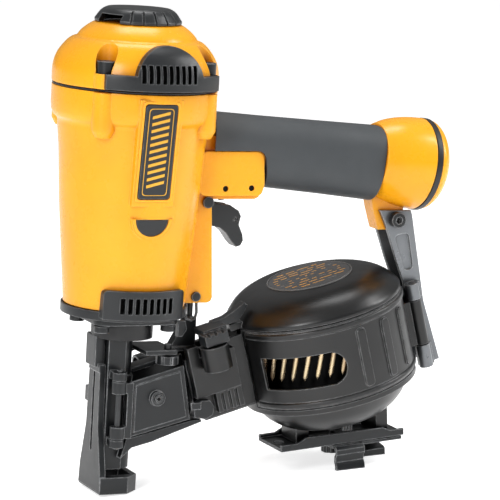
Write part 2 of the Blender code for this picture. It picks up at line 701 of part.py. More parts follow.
def make_nosepiece():
    """Casting under the body: flange, tower, drive column and feed channel."""
    flange = rounded([(-23.5, -23.0), (25.0, -23.0), (25.0, 23.0), (-23.5, 23.0)], 8.0, 2)
    nose = plate(flange, -98.3, -95.0, FLAT)
    tower = box((-11.0, -9.4, 66.0), (-0.5, 9.4, 96.0))
    tube = rod((0.0, 0.0, 60.0), 6.2, 36.0, sides=16)
    column = box((-10.9, -9.3, 12.6), (-0.3, 9.3, 67.0))
    barrel = rod((0.0, 0.0, 12.5), 7.2, 52.0, sides=16)
    far_wall = plate([(2.0, -15.5), (44.6, -15.5), (44.6, 13.2), (2.0, 13.2)],
                     6.0, 9.2, FEED)
    floor = plate([(-3.0, 19.5), (3.5, 25.5), (15.2, 28.4), (28.1, 32.9), (44.6, 38.6),
                   (44.0, 40.0), (37.4, 39.4), (0.0, 30.6)], -14.4, 8.0)
    roof = plate([(2.0, 63.6), (31.0, 71.9), (31.0, 74.6), (2.0, 66.4)], -2.0, 8.0)
    lug = plate([(37.0, 38.5), (45.0, 40.4), (46.4, 46.0), (44.0, 48.4), (39.6, 47.6)],
                -11.6, -7.6)
    strip = plate([(41.0, 38.2), (43.9, 39.2), (46.9, 45.9), (39.3, 72.8), (35.3, 71.7),
                   (43.0, 44.8)], -7.4, -5.4)
    fuse(nose, tower, tube, column, barrel, far_wall, floor, roof, lug, strip)
    x, y = DOOR_HINGE
    for low, high in ((26.6, 31.0), (63.7, 68.4)):
        fuse(nose, rod((x, y, low), 4.0, high - low, sides=14))
        fuse(nose, box((x - 3.0, y + 1.0, low + 0.2), (x + 4.0, -8.0, high - 0.2)))
    cut(nose, rod((0.0, 0.0, 5.0), 5.2, 58.0, sides=16))
    cut(nose, rod((0.0, 0.0, 60.0), 3.6, 40.0, sides=12))
    cut(nose, box((0.0, -5.2, -16.0), (10.0, 5.2, 12.0), FEED))
    cut(nose, box((6.0, -2.2, -21.8), (60.0, 2.2, -12.0), FEED))
    cut(nose, rod((x, y, 20.0), 1.9, 60.0, sides=12))
    cut(nose, cross_rod(*LATCH_PIVOT, -13.0, -6.0, 1.8, 12))
    for sx, sy in corners(*BASE_SCREW_XY):
        cut(nose, rod((sx, sy, 90.0), 2.6, 10.0, sides=8))
    cut(nose, box((5.5, 5.0, -2.6), (30.0, 11.0, 6.0), FEED))
    cut(nose, box((6.0, -8.0, 12.0), (9.0, 8.0, 17.0)))
    fuse(nose, box((11.5, 8.0, 6.4), (40.0, 13.0, 12.4), FEED))
    part("nosepiece", nose, "black_metal")


def make_base_screws():
    for number, (x, y) in enumerate(corners(*BASE_SCREW_XY), 1):
        screw = rod((x, y, 91.0), 4.2, 3.7, sides=12)
        fuse(screw, rod((x, y, 94.0), 2.2, 14.0, sides=8))
        cut(screw, rod((x, y, 90.0), 2.1, 3.4, sides=6))
        part(f"base_screw_{number}", screw, "black_metal")


def foot_outline(grow):
    """Plan view of the foot, as (x, y) pairs."""
    half = FOOT_HALF + grow
    return [(-14.6 - grow, -half), (1.8, -half), (9.6 + grow, -8.2), (9.6 + grow, 8.2),
            (1.8, half), (-14.6 - grow, half)]


def make_contact_trip():
    """Foot, front plate, side strap, upper arm and push rod in one piece."""
    foot = plate(foot_outline(0.0), -9.5, 0.0, FLAT)
    cut(foot, box((-11.1, -9.8, -1.0), (6.4, 9.8, 12.0)))
    front = loft([[(x, y * half, z) for x, y in ((-14.9, -1), (-14.9, 1), (-11.3, 1),
                                                 (-11.3, -1))]
                  for half, z in ((FOOT_HALF, 1.0), (14.4, 12.5), (8.4, 36.0), (7.4, 70.0))])
    head = box((-17.2, -5.2, 69.0), (-11.3, 8.8, 86.6), bevel=0.8)
    ledge = box((-15.4, -7.4, 66.5), (-11.3, 7.4, 71.0))
    tab = box((-14.6, 5.5, 47.5), (-11.6, 13.0, 56.0))
    strap = plate([(-9.0, 4.0), (2.0, 4.0), (2.0, 70.0), (14.0, 75.0), (14.0, 79.0),
                   (-3.0, 79.0), (-9.0, 70.0)], 11.4, 13.6)
    arm = box((9.5, -13.6, 76.4), (28.0, 13.6, 79.2), bevel=0.5)
    tail = box((20.0, -4.5, 76.5), (43.5, 4.5, 79.1), bevel=0.5)
    bracket = plate([(27.0, 77.0), (43.0, 77.0), (43.0, 95.0), (37.0, 95.0)], -3.2, 3.2)
    fuse(foot, front, head, ledge, tab, strap, arm, tail, bracket)
    cut(foot, box((-18.0, -1.3, 22.0), (-10.0, 1.3, 66.0)))
    fuse(foot, rod((ROD_X, 0.0, 90.0), 1.6, 59.2, sides=12))
    fuse(foot, rod((ROD_X, 0.0, 104.8), 3.9, 2.0, sides=16))
    cut(foot, rod((24.0, -9.0, 60.0), 2.3, 30.0, sides=12))
    part("contact_trip", foot, "black_metal")
    spring = coil((ROD_X, 0.0, 107.6), 3.1, 0.45, 28.4, 6)
    part("trip_spring", spring, "steel")
    make_depth_wheel()


def make_depth_wheel():
    """Knurled wheel on a threaded stud under the trip's upper arm."""
    wheel = rod((24.0, -9.0, 70.8), 6.4, 4.9, sides=24)
    for k in range(8):
        turn = Matrix.Translation((24.0, -9.0, 0.0))
        turn = turn @ Matrix.Rotation(k * math.pi / 4.0, 4, "Z")
        cut(wheel, box((5.8, -0.6, 69.0), (8.0, 0.6, 77.0), turn))
    fuse(wheel, rod((24.0, -9.0, 73.0), 1.95, 9.0, sides=12))
    part("depth_wheel", wheel, "black_metal", (24.0, -9.0, 73.0))


def make_door():
    x, y = DOOR_HINGE
    door = plate([(0.3, 31.6), (36.6, 40.6), (31.2, 71.0), (0.3, 62.6)], -16.0, -14.8)
    face = plate([(3.0, 34.6), (34.0, 42.4), (29.0, 67.8), (3.0, 60.8)], -17.0, -15.2)
    arms = box((x, -17.6, 31.4), (1.5, -14.0, 62.4))
    fuse(door, face, arms)
    for low, high in ((31.3, 38.2), (56.5, 63.4)):
        fuse(door, rod((x, y, low), 4.0, high - low, sides=14))
    cut(door, box((x - 5.0, -21.0, 38.2), (x + 4.6, -11.0, 56.5)))
    cut(door, rod((x, y, 20.0), 1.9, 60.0, sides=12))
    fuse(door, cross_rod(15.6, 53.6, -19.6, -15.5, 4.2, 16))
    cut(door, cross_rod(15.6, 53.6, -25.0, -16.2, 2.6, 12))
    part("feed_door", door, "black_metal", (x, y, 47.0))
    pin = rod((x, y, 25.6), 1.6, 44.0, sides=12)
    part("door_hinge_pin", pin, "black_metal", (x, y, 47.0))
    screw = cross_rod(15.6, 53.6, -20.4, -16.5, 2.3, 12)
    cut(screw, cross_rod(15.6, 53.6, -22.0, -18.4, 1.2, 6))
    part("door_screw", screw, "black_metal", (15.6, -18.0, 53.6))


def make_door_latch():
    """Spring paddle behind the door that holds it shut."""
    px, pz = LATCH_PIVOT
    outline = [(38.2, 48.2), (42.6, 51.0), (47.6, 51.2), (50.6, 47.6), (50.0, 42.8),
               (46.0, 40.6), (38.9, 41.4)]
    paddle = plate(outline, -17.2, -12.0)
    tip = plate([(35.5, 50.4), (40.0, 50.0), (40.0, 46.4), (36.3, 46.2)], -18.4, -17.4)
    fuse(paddle, plate([(38.2, 50.2), (42.0, 50.4), (42.0, 46.4), (38.2, 46.4)], -18.4, -17.0))
    fuse(paddle, tip)
    fuse(paddle, cross_rod(px, pz, -12.5, -7.8, 1.5, 12))
    part("door_latch", paddle, "black_metal", (px, 0.0, pz))


def make_feed():
    """Air cylinder on the far side whose pawl advances the nails to the drive axis."""
    axis = FEED @ Matrix.Translation((0.0, FEED_Y, 9.0)) @ ALONG_X
    barrel = lathe([(0.0, 44.0), (6.2, 44.0), (7.2, 43.0), (7.2, 22.6), (5.8, 22.6),
                    (5.8, 42.0), (0.0, 42.0)], 20, axis)
    cut(barrel, rod((0.0, 0.0, 40.0), 1.2, 6.0, axis, 8))
    foot = box((23.0, 13.3, 4.0), (40.0, 16.2, 12.6), FEED)
    cut(foot, rod((0.0, 0.0, 10.0), 6.6, 40.0, axis, 20))
    fuse(barrel, foot)
    part("feed_cylinder", barrel, "black_metal")
    piston = rod((0.0, 0.0, 26.0), 5.5, 3.4, axis, 20)
    fuse(piston, rod((0.0, 0.0, 12.5), 2.2, 14.0, axis, 12))
    block = box((9.0, 17.4, 3.2), (14.0, 23.2, 12.0), FEED, bevel=0.6)
    fuse(piston, block)
    cut(piston, rod((11.5, 20.0, 0.0), 1.45, 20.0, FEED, 10))
    part("feed_piston", piston, "steel")
    spring = coil((0.0, 0.0, 38.2), 4.3, 0.5, 3.2, 2.5, axis, 10)
    part("feed_spring", spring, "steel")
    pawl = box((9.2, 3.4, -1.6), (13.6, 22.2, 2.7), FEED, bevel=0.5)
    fuse(pawl, rod((11.5, 20.0, 1.0), 1.15, 9.5, FEED, 10))
    part("feed_pawl", pawl, "steel", at(FEED, 11.5, 20.0, 0.0))


# --- magazine ------------------------------------------------------------------

def sector(low_deg, high_deg, radius, low, high, steps=12):
    """A wedge of the magazine's round, used to keep one stretch of its wall."""
    points = [(0.0, 0.0)] + arc((0.0, 0.0), radius, low_deg, high_deg, steps)
    return plate(points, -high, -low, MAG @ FLAT)


def make_canister_body():
    """Bowl, far wall, nail throat and the brackets that hold them."""
    cup = lathe([(0.0, -66.2), (30.0, -66.2), (40.0, -58.5), (44.5, -51.0),
                 (CAN_R, -49.8), (CAN_R, -GAP), (CAN_R - CAN_WALL, -GAP),
                 (CAN_R - CAN_WALL, -48.4), (42.8, -50.0), (38.6, -57.2),
                 (29.3, -64.2), (0.0, -64.2)], 32, MAG)
    cut(cup, sector(-173.0, -9.0, 70.0, -46.6, 5.0))
    cut(cup, box((-52.0, -5.6, -42.0), (-44.0, 5.6, 2.0), MAG))
    for low, end in ((5.6, -46.9), (-8.3, -49.9)):
        fuse(cup, box((-80.8, low, -43.0), (end, low + 2.7, -2.0), MAG))
    fuse(cup, box((-80.8, -7.0, -44.0), (-46.9, 7.0, -41.6), MAG))
    ear = box((-85.4, -13.4, -28.6), (-58.0, -7.8, -6.0), MAG)
    tab = box((-85.4, -13.4, -12.0), (-79.0, -7.8, 1.0), MAG)
    fins = box((-74.0, -12.6, -40.4), (-58.0, -7.8, -28.0), MAG)
    barrel = rod((*LATCH_UV, -13.0), 8.0, 14.0, MAG, 20)
    fuse(cup, ear, tab, fins, barrel)
    for k in range(3):
        u = -71.4 + 4.2 * k
        cut(cup, box((u, -15.0, -42.0), (u + 1.8, -10.8, -29.6), MAG))
    cut(cup, rod((*LATCH_UV, -7.0), 2.2, 12.0, MAG, 12))
    hold = box((46.6, 9.4, -40.0), (60.0, 12.6, -12.0), MAG)
    front_foot = box((12.0, -9.5, 2.3), (20.0, 9.5, 22.0), RAIL)
    rear_foot = box((62.5, -9.5, 2.3), (70.0, 9.5, 23.0), RAIL)
    fuse(cup, hold, front_foot, rear_foot)
    cut(cup, rod((0.0, 0.0, -70.0), 5.6, 10.0, MAG, 20))
    part("canister_body", cup, "black_gloss")


def window_cutter():
    """A slot through the wall whose rear end is round."""
    low, high = WINDOW_DEG
    cutter = sector(low, high - 6.0, 60.0, *WINDOW_W)
    middle = math.radians(high - 9.0)
    half = (WINDOW_W[1] - WINDOW_W[0]) / 2.0
    centre = (math.cos(middle) * 49.0, math.sin(middle) * 49.0, sum(WINDOW_W) / 2.0)
    outward = Matrix.Rotation(middle, 4, "Z") @ ALONG_X
    round_end = rod((0.0, 0.0, -12.0), half, 24.0, MAG @ Matrix.Translation(centre) @ outward)
    return fuse(cutter, round_end)


def make_canister_cover():
    wall = ring(CAN_R - CAN_WALL, CAN_R, -46.2, -GAP, 32, MAG)
    common(wall, sector(-171.5, -11.0, 60.0, -60.0, 10.0, 20))
    cut(wall, window_cutter())
    for degrees in RIB_DEG:
        turn = MAG @ Matrix.Rotation(math.radians(degrees), 4, "Z")
        rib = box((47.9, -2.6, RIB_W[0]), (50.8, 2.6, RIB_W[1]), turn, bevel=1.1)
        fuse(wall, rib)
    u, v = HINGE_UV
    barrel = rod((u, v, -40.0), 3.8, 26.4, MAG, 16)
    leaf = box((46.4, v - 1.2, -39.8), (u, v + 1.6, -13.8), MAG)
    fuse(wall, barrel, leaf)
    cut(wall, rod((u, v, -60.0), 1.95, 70.0, MAG, 12))
    cut(wall, rod((0.0, 0.0, -47.5), CAN_R - CAN_WALL - 0.05, 60.0, MAG, 32))
    pivot = at(MAG, u, v, -28.0)
    part("canister_cover", wall, "black_gloss", pivot)
    pin = rod((u, v, -53.6), 1.6, 50.4, MAG, 12)
    part("cover_hinge_pin", pin, "black_metal", pivot)


def make_canister_lid():
    """Dome on top of the cover, with a tab that the latch hooks."""
    outer = [(0.0, 15.2), (26.6, 14.6), (36.0, 12.8), (43.5, 9.0), (48.0, 4.6),
             (49.7, 2.2), (49.7, GAP)]
    inner = [(47.9, GAP), (47.9, 1.8), (42.2, 7.6), (35.3, 11.0), (0.0, 13.4)]
    lid = lathe(outer + inner, 32, MAG)
    tab = box((-56.0, -8.0, 1.0), (-47.9, 2.0, 5.0), MAG, bevel=0.6)
    fuse(lid, tab)
    part("canister_lid", lid, "black_gloss", at(MAG, *HINGE_UV, 5.0))


def make_cover_latch():
    """Ribbed thumb lever on top of the barrel; its hook holds the lid's tab."""
    u, v = LATCH_UV
    lever = box((-78.4, -25.4, 1.4), (-64.0, -14.6, 8.4), MAG, bevel=1.2)
    arm = box((-76.0, -19.0, 5.6), (-62.0, -5.0, 9.6), MAG)
    hook = plate([(-66.0, 5.9), (-50.5, 5.9), (-46.0, 9.9), (-43.0, 13.0), (-44.8, 15.2),
                  (-51.0, 12.6), (-58.0, 10.4), (-66.0, 10.0)], -9.0, -3.5, MAG)
    fuse(lever, arm, hook)
    for k in range(3):
        x = -76.4 + 4.2 * k
        cut(lever, box((x, -27.0, 7.2), (x + 1.7, -19.6, 12.0), MAG))
    fuse(lever, rod((u, v, -6.0), 1.9, 9.0, MAG, 12))
    part("cover_latch", lever, "black_plastic", at(MAG, u, v, 0.0))


def make_nail_store():
    platform = rod((0.0, 0.0, -43.6), 40.8, 2.2, MAG, 30)
    fuse(platform, rod((0.0, 0.0, -53.9), 4.9, 42.4, MAG, 16))
    part("nail_platform", platform, "black_plastic", at(MAG, 0.0, 0.0, -43.6))
    nails = ring(11.0, 43.6, -41.0, -10.0, 30, MAG)
    part("nail_coil", nails, "brass_nails", at(MAG, 0.0, 0.0, -41.0))
    dial = rod((0.0, 0.0, -70.6), 18.5, 4.0, MAG, 30)
    for k in range(8):
        turn = MAG @ Matrix.Rotation(k * math.pi / 4.0, 4, "Z")
        cut(dial, rod((19.6, 0.0, -75.0), 2.2, 10.0, turn, 8))
    fuse(dial, rod((0.0, 0.0, -67.5), 5.2, 5.0, MAG, 20))
    part("platform_dial", dial, "black_plastic", at(MAG, 0.0, 0.0, -70.6))


def ear_outline():
    """Side view of one arm ear, in the magazine's own axes."""
    return [(47.2, 41.6), (66.3, 36.0), (66.5, 33.2), (63.4, -17.0), (66.4, -53.6),
            (53.4, -54.0), (53.6, -20.0), (53.4, -4.0), (51.4, 10.0), (49.6, 28.0)]


def make_arm():
    arm = plate(ear_outline(), -8.4, -6.0, MAG)
    far = plate(ear_outline(), 6.0, 8.4, MAG)
    web = plate([(59.6, 16.0), (65.2, 16.0), (63.6, -8.0), (63.2, -17.0), (66.2, -53.4),
                 (60.0, -53.4), (58.8, -18.0)], -7.6, 7.6, MAG)
    fuse(arm, far, web)
    u, v = HINGE_UV
    for low, high in ((-13.2, -3.8), (-53.8, -40.4)):
        fuse(arm, rod((u, v, low), 4.0, high - low, MAG, 12))
        fuse(arm, box((u - 2.0, v, low + 0.2), (u + 5.6, -7.0, high - 0.2), MAG))
    panel = rounded([(52.8, 25.0), (62.0, 24.0), (60.6, 3.0), (55.2, 3.0)], 3.0, 2)
    cut(arm, plate(panel, -12.0, -7.2, MAG))
    cut(arm, rod((u, v, -56.0), 1.95, 60.0, MAG, 12))
    cut(arm, cross_rod(55.8, 33.7, -12.0, 12.0, 2.9, 16, MAG))
    part("magazine_arm", arm, "black_metal")
    screw = cross_rod(55.8, 33.7, -12.8, -8.7, 4.4, 16, MAG)
    fuse(screw, cross_rod(55.8, 33.7, -9.0, 8.4, 2.4, 12, MAG))
    cut(screw, cross_rod(55.8, 33.7, -15.0, -10.4, 2.1, 6, MAG))
    part("arm_screw", screw, "black_metal")


def make_rail():
    """Channel under the magazine that the shingle guide slides along."""
    length, half = RAIL_LENGTH, RAIL_HALF
    rail = box((0.0, -half, 0.0), (length, half, 2.0), RAIL)
    side = [(0.0, 0.2), (length, 0.2), (length, 3.8), (69.0, 3.8), (64.0, 6.0),
            (16.0, 6.6), (10.0, 3.8), (0.0, 3.8)]
    fuse(rail, plate(side, -half, -half + 2.0, RAIL), plate(side, half - 2.0, half, RAIL))
    cut(rail, rod((5.2, 0.0, -2.0), 3.0, 6.0, RAIL, 20))
    cut(rail, plate(rounded([(22.0, -3.1), (60.0, -3.1), (60.0, 3.1), (22.0, 3.1)], 3.0),
                    -4.0, 2.5, RAIL @ FLAT))
    part("base_rail", rail, "black_metal")


def make_shingle_guide():
    """Sliding plate with two bent hooks; the tool stands on them."""
    slide = box((32.0, -15.0, -2.3), (76.0, 15.0, -GAP), RAIL)
    near = [(-14.0, -0.5), (-16.4, -0.8), (-18.0, -2.8), (-18.0, -5.6), (-16.4, -7.6),
            (-16.0, -10.2), (-17.4, -12.0), (-18.2, -19.0), (-14.8, -19.0), (-15.2, -12.6),
            (-14.2, -10.2), (-14.6, -6.8), (-16.2, -4.8), (-16.2, -3.4), (-14.0, -2.2)]
    fuse(slide, plate(near, -51.0, -33.0, RAIL @ SIDEWAYS))
    far = [(14.0, -0.5), (16.2, -2.6), (16.2, -8.6), (15.0, -12.2), (9.6, -13.0),
           (9.0, -19.0), (4.8, -19.0), (5.0, -12.0), (6.6, -11.0), (13.4, -10.2),
           (14.4, -8.2), (14.4, -4.0), (13.0, -2.2)]
    fuse(slide, plate(far, -75.5, -59.0, RAIL @ SIDEWAYS))
    cut(slide, box((-5.0, -40.0, -30.0), (220.0, 40.0, 0.0), leaned((9.6, 0.0, 0.0), -LEAN_DEG)))
    cut(slide, rod((39.0, 0.0, -5.0), 2.6, 8.0, RAIL, 14))
    part("shingle_guide", slide, "black_metal")
    knob = rod((39.0, 0.0, -7.6), 6.4, 5.0, RAIL, 20)
    for k in range(8):
        turn = RAIL @ Matrix.Translation((39.0, 0.0, 0.0))
        turn = turn @ Matrix.Rotation(k * math.pi / 4.0, 4, "Z")
        cut(knob, rod((7.2, 0.0, -10.0), 1.6, 9.0, turn, 8))
    fuse(knob, rod((39.0, 0.0, -4.0), 2.1, 9.0, RAIL, 12))
    part("guide_lock_knob", knob, "black_metal", at(RAIL, 39.0, 0.0, -5.0))


def stand_up():
    """Lean the tool back and put the middle of its footprint at the origin."""
    ROOT.location = (AXIS_X * MM, 0.0, AXIS_Z * MM)
    ROOT.rotation_euler = (0.0, math.radians(LEAN_DEG), 0.0)


make_cap()
make_cap_screws()
make_gasket()
make_deflector()
make_head_valve()
make_upper_guard()
make_lower_guard()
make_side_badges()
make_housing()
make_grip()
make_handle_end()
make_drive()
make_trigger()
make_trigger_valve()
make_nosepiece()
make_base_screws()
make_contact_trip()
make_door()
make_door_latch()
make_feed()
make_canister_body()
make_canister_cover()
make_canister_lid()
make_cover_latch()
make_nail_store()
make_arm()
make_rail()
make_shingle_guide()
stand_up()
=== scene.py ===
"""Looks of the coil roofing nailer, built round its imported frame.

Lengths are in millimetres in the tool's own axes, as in the part's source, and are
scaled to metres by MM.  ROOT_AXES leans the tool back onto its shingle guide.
"""
import json
import math

import bmesh
import bpy
from mathutils import Matrix, Vector

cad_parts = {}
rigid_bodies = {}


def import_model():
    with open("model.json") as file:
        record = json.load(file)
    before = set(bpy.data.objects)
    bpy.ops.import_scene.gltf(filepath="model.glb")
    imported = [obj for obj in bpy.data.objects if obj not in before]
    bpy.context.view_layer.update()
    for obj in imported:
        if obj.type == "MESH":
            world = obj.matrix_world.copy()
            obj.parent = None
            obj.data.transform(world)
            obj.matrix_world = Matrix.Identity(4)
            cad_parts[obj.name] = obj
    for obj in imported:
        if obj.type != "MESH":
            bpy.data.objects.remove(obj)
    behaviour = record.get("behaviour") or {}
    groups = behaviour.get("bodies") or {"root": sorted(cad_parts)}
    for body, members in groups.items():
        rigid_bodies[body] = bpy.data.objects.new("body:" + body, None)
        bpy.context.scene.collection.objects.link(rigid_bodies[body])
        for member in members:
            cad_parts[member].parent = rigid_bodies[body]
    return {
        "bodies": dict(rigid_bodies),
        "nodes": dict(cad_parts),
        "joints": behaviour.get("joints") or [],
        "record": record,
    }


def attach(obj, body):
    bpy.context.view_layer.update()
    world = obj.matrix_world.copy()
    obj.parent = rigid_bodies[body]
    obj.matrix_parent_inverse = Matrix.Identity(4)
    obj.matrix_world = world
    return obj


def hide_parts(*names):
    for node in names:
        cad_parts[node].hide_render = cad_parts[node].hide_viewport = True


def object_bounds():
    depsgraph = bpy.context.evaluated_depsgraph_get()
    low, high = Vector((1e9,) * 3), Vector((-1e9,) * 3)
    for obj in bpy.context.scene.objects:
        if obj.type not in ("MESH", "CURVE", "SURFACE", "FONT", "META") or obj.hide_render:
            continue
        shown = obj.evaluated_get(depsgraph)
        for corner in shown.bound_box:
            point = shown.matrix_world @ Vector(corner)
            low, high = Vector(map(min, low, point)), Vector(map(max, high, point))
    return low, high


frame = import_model()
CAD_BOX = [list(corner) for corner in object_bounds()]
BODY_OF = {node: body for body, nodes in frame["record"]["behaviour"]["bodies"].items()
           for node in nodes}

MM = 0.001
GAP = 0.3                   # clearance between neighbouring pieces
FINE = 2                    # how many times finer than the frame turned pieces are
MOST_SIDES = 96             # of a turned piece
CREASE_DEG = 38.0           # a bend sharper than this stays a corner
SHARP_DEG = 32.0            # an edge sharper than this isn't shaded smooth
EASE_STEPS = 4              # points to a stretch of a smooth line
CORNER_STEPS = 6            # points to a rounded corner
COIL_STEPS = 24             # points to one turn of a spring
WELD = 0.001                # points closer than this are one

# Lean of the standing tool in degrees, and place of the drive axis in the part's frame
LEAN_DEG = 3.72
AXIS_X = -85.54
AXIS_Z = 0.623

# Drive axis stack: heights above the nose tip, and radii
KNOB_TOP, KNOB_BASE, KNOB_R = 265.0, 257.2, 23.6
OUTLET_DEG = 203.0         # which way the exhaust outlet faces
CAP_TOP, CAP_BASE, CAP_R = 256.9, 224.0, 45.1
BODY_TOP, BODY_BASE = 222.4, 104.0
SCREW_XY = 29.0             # cap screws stand on a square of this half side
POCKET_FLOOR = 230.5
BASE_SCREW_XY = (19.5, 18.0)

# Handle: an axis that droops to the rear from a point on the drive axis
HANDLE_Z, DROOP_DEG = 199.9, 6.3
CORE_DROP, CORE_R = 3.0, 15.0
GRIP_START, GRIP_END = 36.0, 147.4
RING_R = 26.3
END_S = 190.4

# Magazine: its axis leans forward, parallel to the collated nails' feed angle
MAG_ORIGIN, MAG_DEG = (116.1, 0.0, 102.0), 16.1
CAN_R, CAN_WALL = 49.5, 1.8                 # drum radius and wall
WINDOW_DEG, WINDOW_W = (-158.0, -102.0), (-34.4, -15.8)     # slot that shows the nails
RIB_DEG, RIB_W = (-87.0, -67.0, -47.0), (-40.6, -6.8)
HINGE_UV = (55.6, -12.5)
LATCH_UV = (-72.0, -20.0)
ARM_SCREW_UW = (55.8, 33.7)

# Nose, feed door and contact trip
DOOR_HINGE = (-6.6, -16.0)
FOOT_HALF = 15.5
ROD_X = 40.0
LATCH_PIVOT = (42.4, 43.8)
WHEEL_XY = (24.0, -9.0)     # depth wheel
DOOR_SCREW_XZ = (15.6, 53.6)
FEED_Y = 20.5
TRIGGER_PIVOT = (41.2, 160.9)
LEVER_PIVOT = (62.4, 150.0)
CHEEK_PINS = ((50.4, 168.6), (66.0, 168.9))
VALVE_X, STEM_FOOT = 55.0, 160.2

# Base rail under the magazine
RAIL_ORIGIN, RAIL_DEG, RAIL_LENGTH, RAIL_HALF = (94.3, 0.0, 19.2), 5.4, 77.3, 15.3
KNOB_U = 39.0               # guide lock knob

TOOL = Matrix.Identity(4)
ROOT_AXES = (Matrix.Translation((AXIS_X * MM, 0.0, AXIS_Z * MM))
             @ Matrix.Rotation(math.radians(LEAN_DEG), 4, "Y"))
TOOLS = bpy.data.collections.new("cutters")
PARTS = bpy.data.collections.new("looks")
for made in (TOOLS, PARTS):
    bpy.context.scene.collection.children.link(made)


def leaned(origin, degrees):
    """A frame at origin turned about Y; positive degrees droop +X downwards."""
    return Matrix.Translation(origin) @ Matrix.Rotation(math.radians(degrees), 4, "Y")


HANDLE = leaned((0.0, 0.0, HANDLE_Z), DROOP_DEG)
MAG = leaned(MAG_ORIGIN, -MAG_DEG)
RAIL = leaned(RAIL_ORIGIN, -RAIL_DEG)
FEED = leaned((0.0, 0.0, 48.0), -MAG_DEG)
ALONG_X = Matrix.Rotation(math.radians(90.0), 4, "Y")       # turns Z to X
ALONG_Y = Matrix.Rotation(math.radians(-90.0), 4, "X")      # turns Z to Y
FLAT = ALONG_Y                                              # lays a plate in plan
SIDEWAYS = Matrix.Rotation(math.radians(90.0), 4, "Z")      # faces a plate along X


# --- shape tools -----------------------------------------------------------

def tool_object(mesh):
    """A working shape: it is drawn as wire and hidden in renders until used."""
    obj = bpy.data.objects.new("tool", mesh)
    obj.hide_render = True
    obj.display_type = "WIRE"
    TOOLS.objects.link(obj)
    return obj


def from_bmesh(bm, frame):
    """A working shape from millimetres in the given axes to metres in the tool's."""
    bmesh.ops.transform(bm, matrix=frame, verts=bm.verts)
    bmesh.ops.scale(bm, vec=(MM, MM, MM), verts=bm.verts)
    bmesh.ops.recalc_face_normals(bm, faces=bm.faces)
    mesh = bpy.data.meshes.new("shape")
    bm.to_mesh(mesh)
    bm.free()
    return tool_object(mesh)


def bake(obj):
    """Apply the modifiers of obj to its mesh and weld coincident points."""
    mesh = evaluated(obj)
    obj.modifiers.clear()
    bm = bmesh.new()
    bm.from_mesh(mesh)
    bmesh.ops.remove_doubles(bm, verts=bm.verts, dist=2.0 * WELD * MM)
    bmesh.ops.dissolve_degenerate(bm, edges=bm.edges, dist=WELD * MM)
    bm.to_mesh(mesh)
    bm.free()
    obj.data = mesh
    return obj


def combine(obj, operation, tools):
    for tool in tools:
        modifier = obj.modifiers.new("combine", "BOOLEAN")
        modifier.operation = operation
        modifier.solver = "EXACT"
        modifier.object = tool
    bake(obj)
    for tool in tools:
        bpy.data.objects.remove(tool, do_unlink=True)
    return obj


def cut(obj, *tools):
    return combine(obj, "DIFFERENCE", tools)


def fuse(obj, *tools):
    return combine(obj, "UNION", tools)


def common(obj, tool):
    return combine(obj, "INTERSECT", [tool])


def cross_rod(x, z, low, high, radius, sides=16, frame=TOOL):
    """A cylinder along Y at (x, z), from y = low to y = high."""
    place = frame @ Matrix.Translation((x, low, z)) @ ALONG_Y
    return rod((0.0, 0.0, 0.0), radius, high - low, place, sides)


def ring(inner, outer, low, high, sides=28, frame=TOOL):
    return lathe([(outer, high), (outer, low), (inner, low), (inner, high)], sides, frame)


def loft(rings, frame=TOOL):
    """A solid through rings that have the same number of points."""
    bm = bmesh.new()
    rows = [[bm.verts.new(point) for point in points] for points in rings]
    count = len(rows[0])
    for row, following in zip(rows, rows[1:]):
        for i in range(count):
            j = (i + 1) % count
            bm.faces.new((row[i], row[j], following[j], following[i]))
    bm.faces.new(rows[0])
    bm.faces.new(rows[-1])
    return from_bmesh(bm, frame)


def turned(degrees, frame=TOOL):
    """The frame turned about its own Z."""
    return frame @ Matrix.Rotation(math.radians(degrees), 4, "Z")


def turns(count, frame=TOOL):
    return [turned(360.0 * k / count, frame) for k in range(count)]


def corners(half_x, half_y):
    return [(x, y) for x in (-half_x, half_x) for y in (-half_y, half_y)]


CAP_SCREWS = corners(SCREW_XY, SCREW_XY)
BASE_SCREWS = corners(*BASE_SCREW_XY)


def drill(obj, spots, low, radius, height, sides=8):
    """Upright holes through obj at each (x, y) spot."""
    for x, y in spots:
        cut(obj, rod((x, y, low), radius, height, sides=sides))


def eased(points, closed):
    """Extra points along smooth stretches of a line; sharp corners stay."""
    spots = [Vector(point) for point in points]
    count = len(spots)
    tangents = []
    for i, here in enumerate(spots):
        if not closed and i in (0, count - 1):
            tangents.append(None)
            continue
        back, ahead = here - spots[i - 1], spots[(i + 1) % count] - here
        if math.degrees(back.angle(ahead)) > CREASE_DEG:
            tangents.append(None)
        else:
            blend = back.normalized() * ahead.length + ahead.normalized() * back.length
            tangents.append(blend.normalized())
    result = []
    for i in range(count if closed else count - 1):
        start, end = spots[i], spots[(i + 1) % count]
        first, last = tangents[i], tangents[(i + 1) % count]
        result.append(tuple(start))
        if first is None and last is None:
            continue
        run = end - start
        first = (first or run.normalized()) * run.length
        last = (last or run.normalized()) * run.length
        for k in range(1, EASE_STEPS):
            t = k / EASE_STEPS
            spot = (start * (2 * t ** 3 - 3 * t ** 2 + 1) + first * (t ** 3 - 2 * t ** 2 + t)
                    + end * (3 * t ** 2 - 2 * t ** 3) + last * (t ** 3 - t ** 2))
            result.append(tuple(spot))
    if not closed:
        result.append(tuple(spots[-1]))
    low = [min(p[k] for p in points) for k in (0, 1)]
    high = [max(p[k] for p in points) for k in (0, 1)]
    return [tuple(min(max(p[k], low[k]), high[k]) for k in (0, 1)) for p in result]


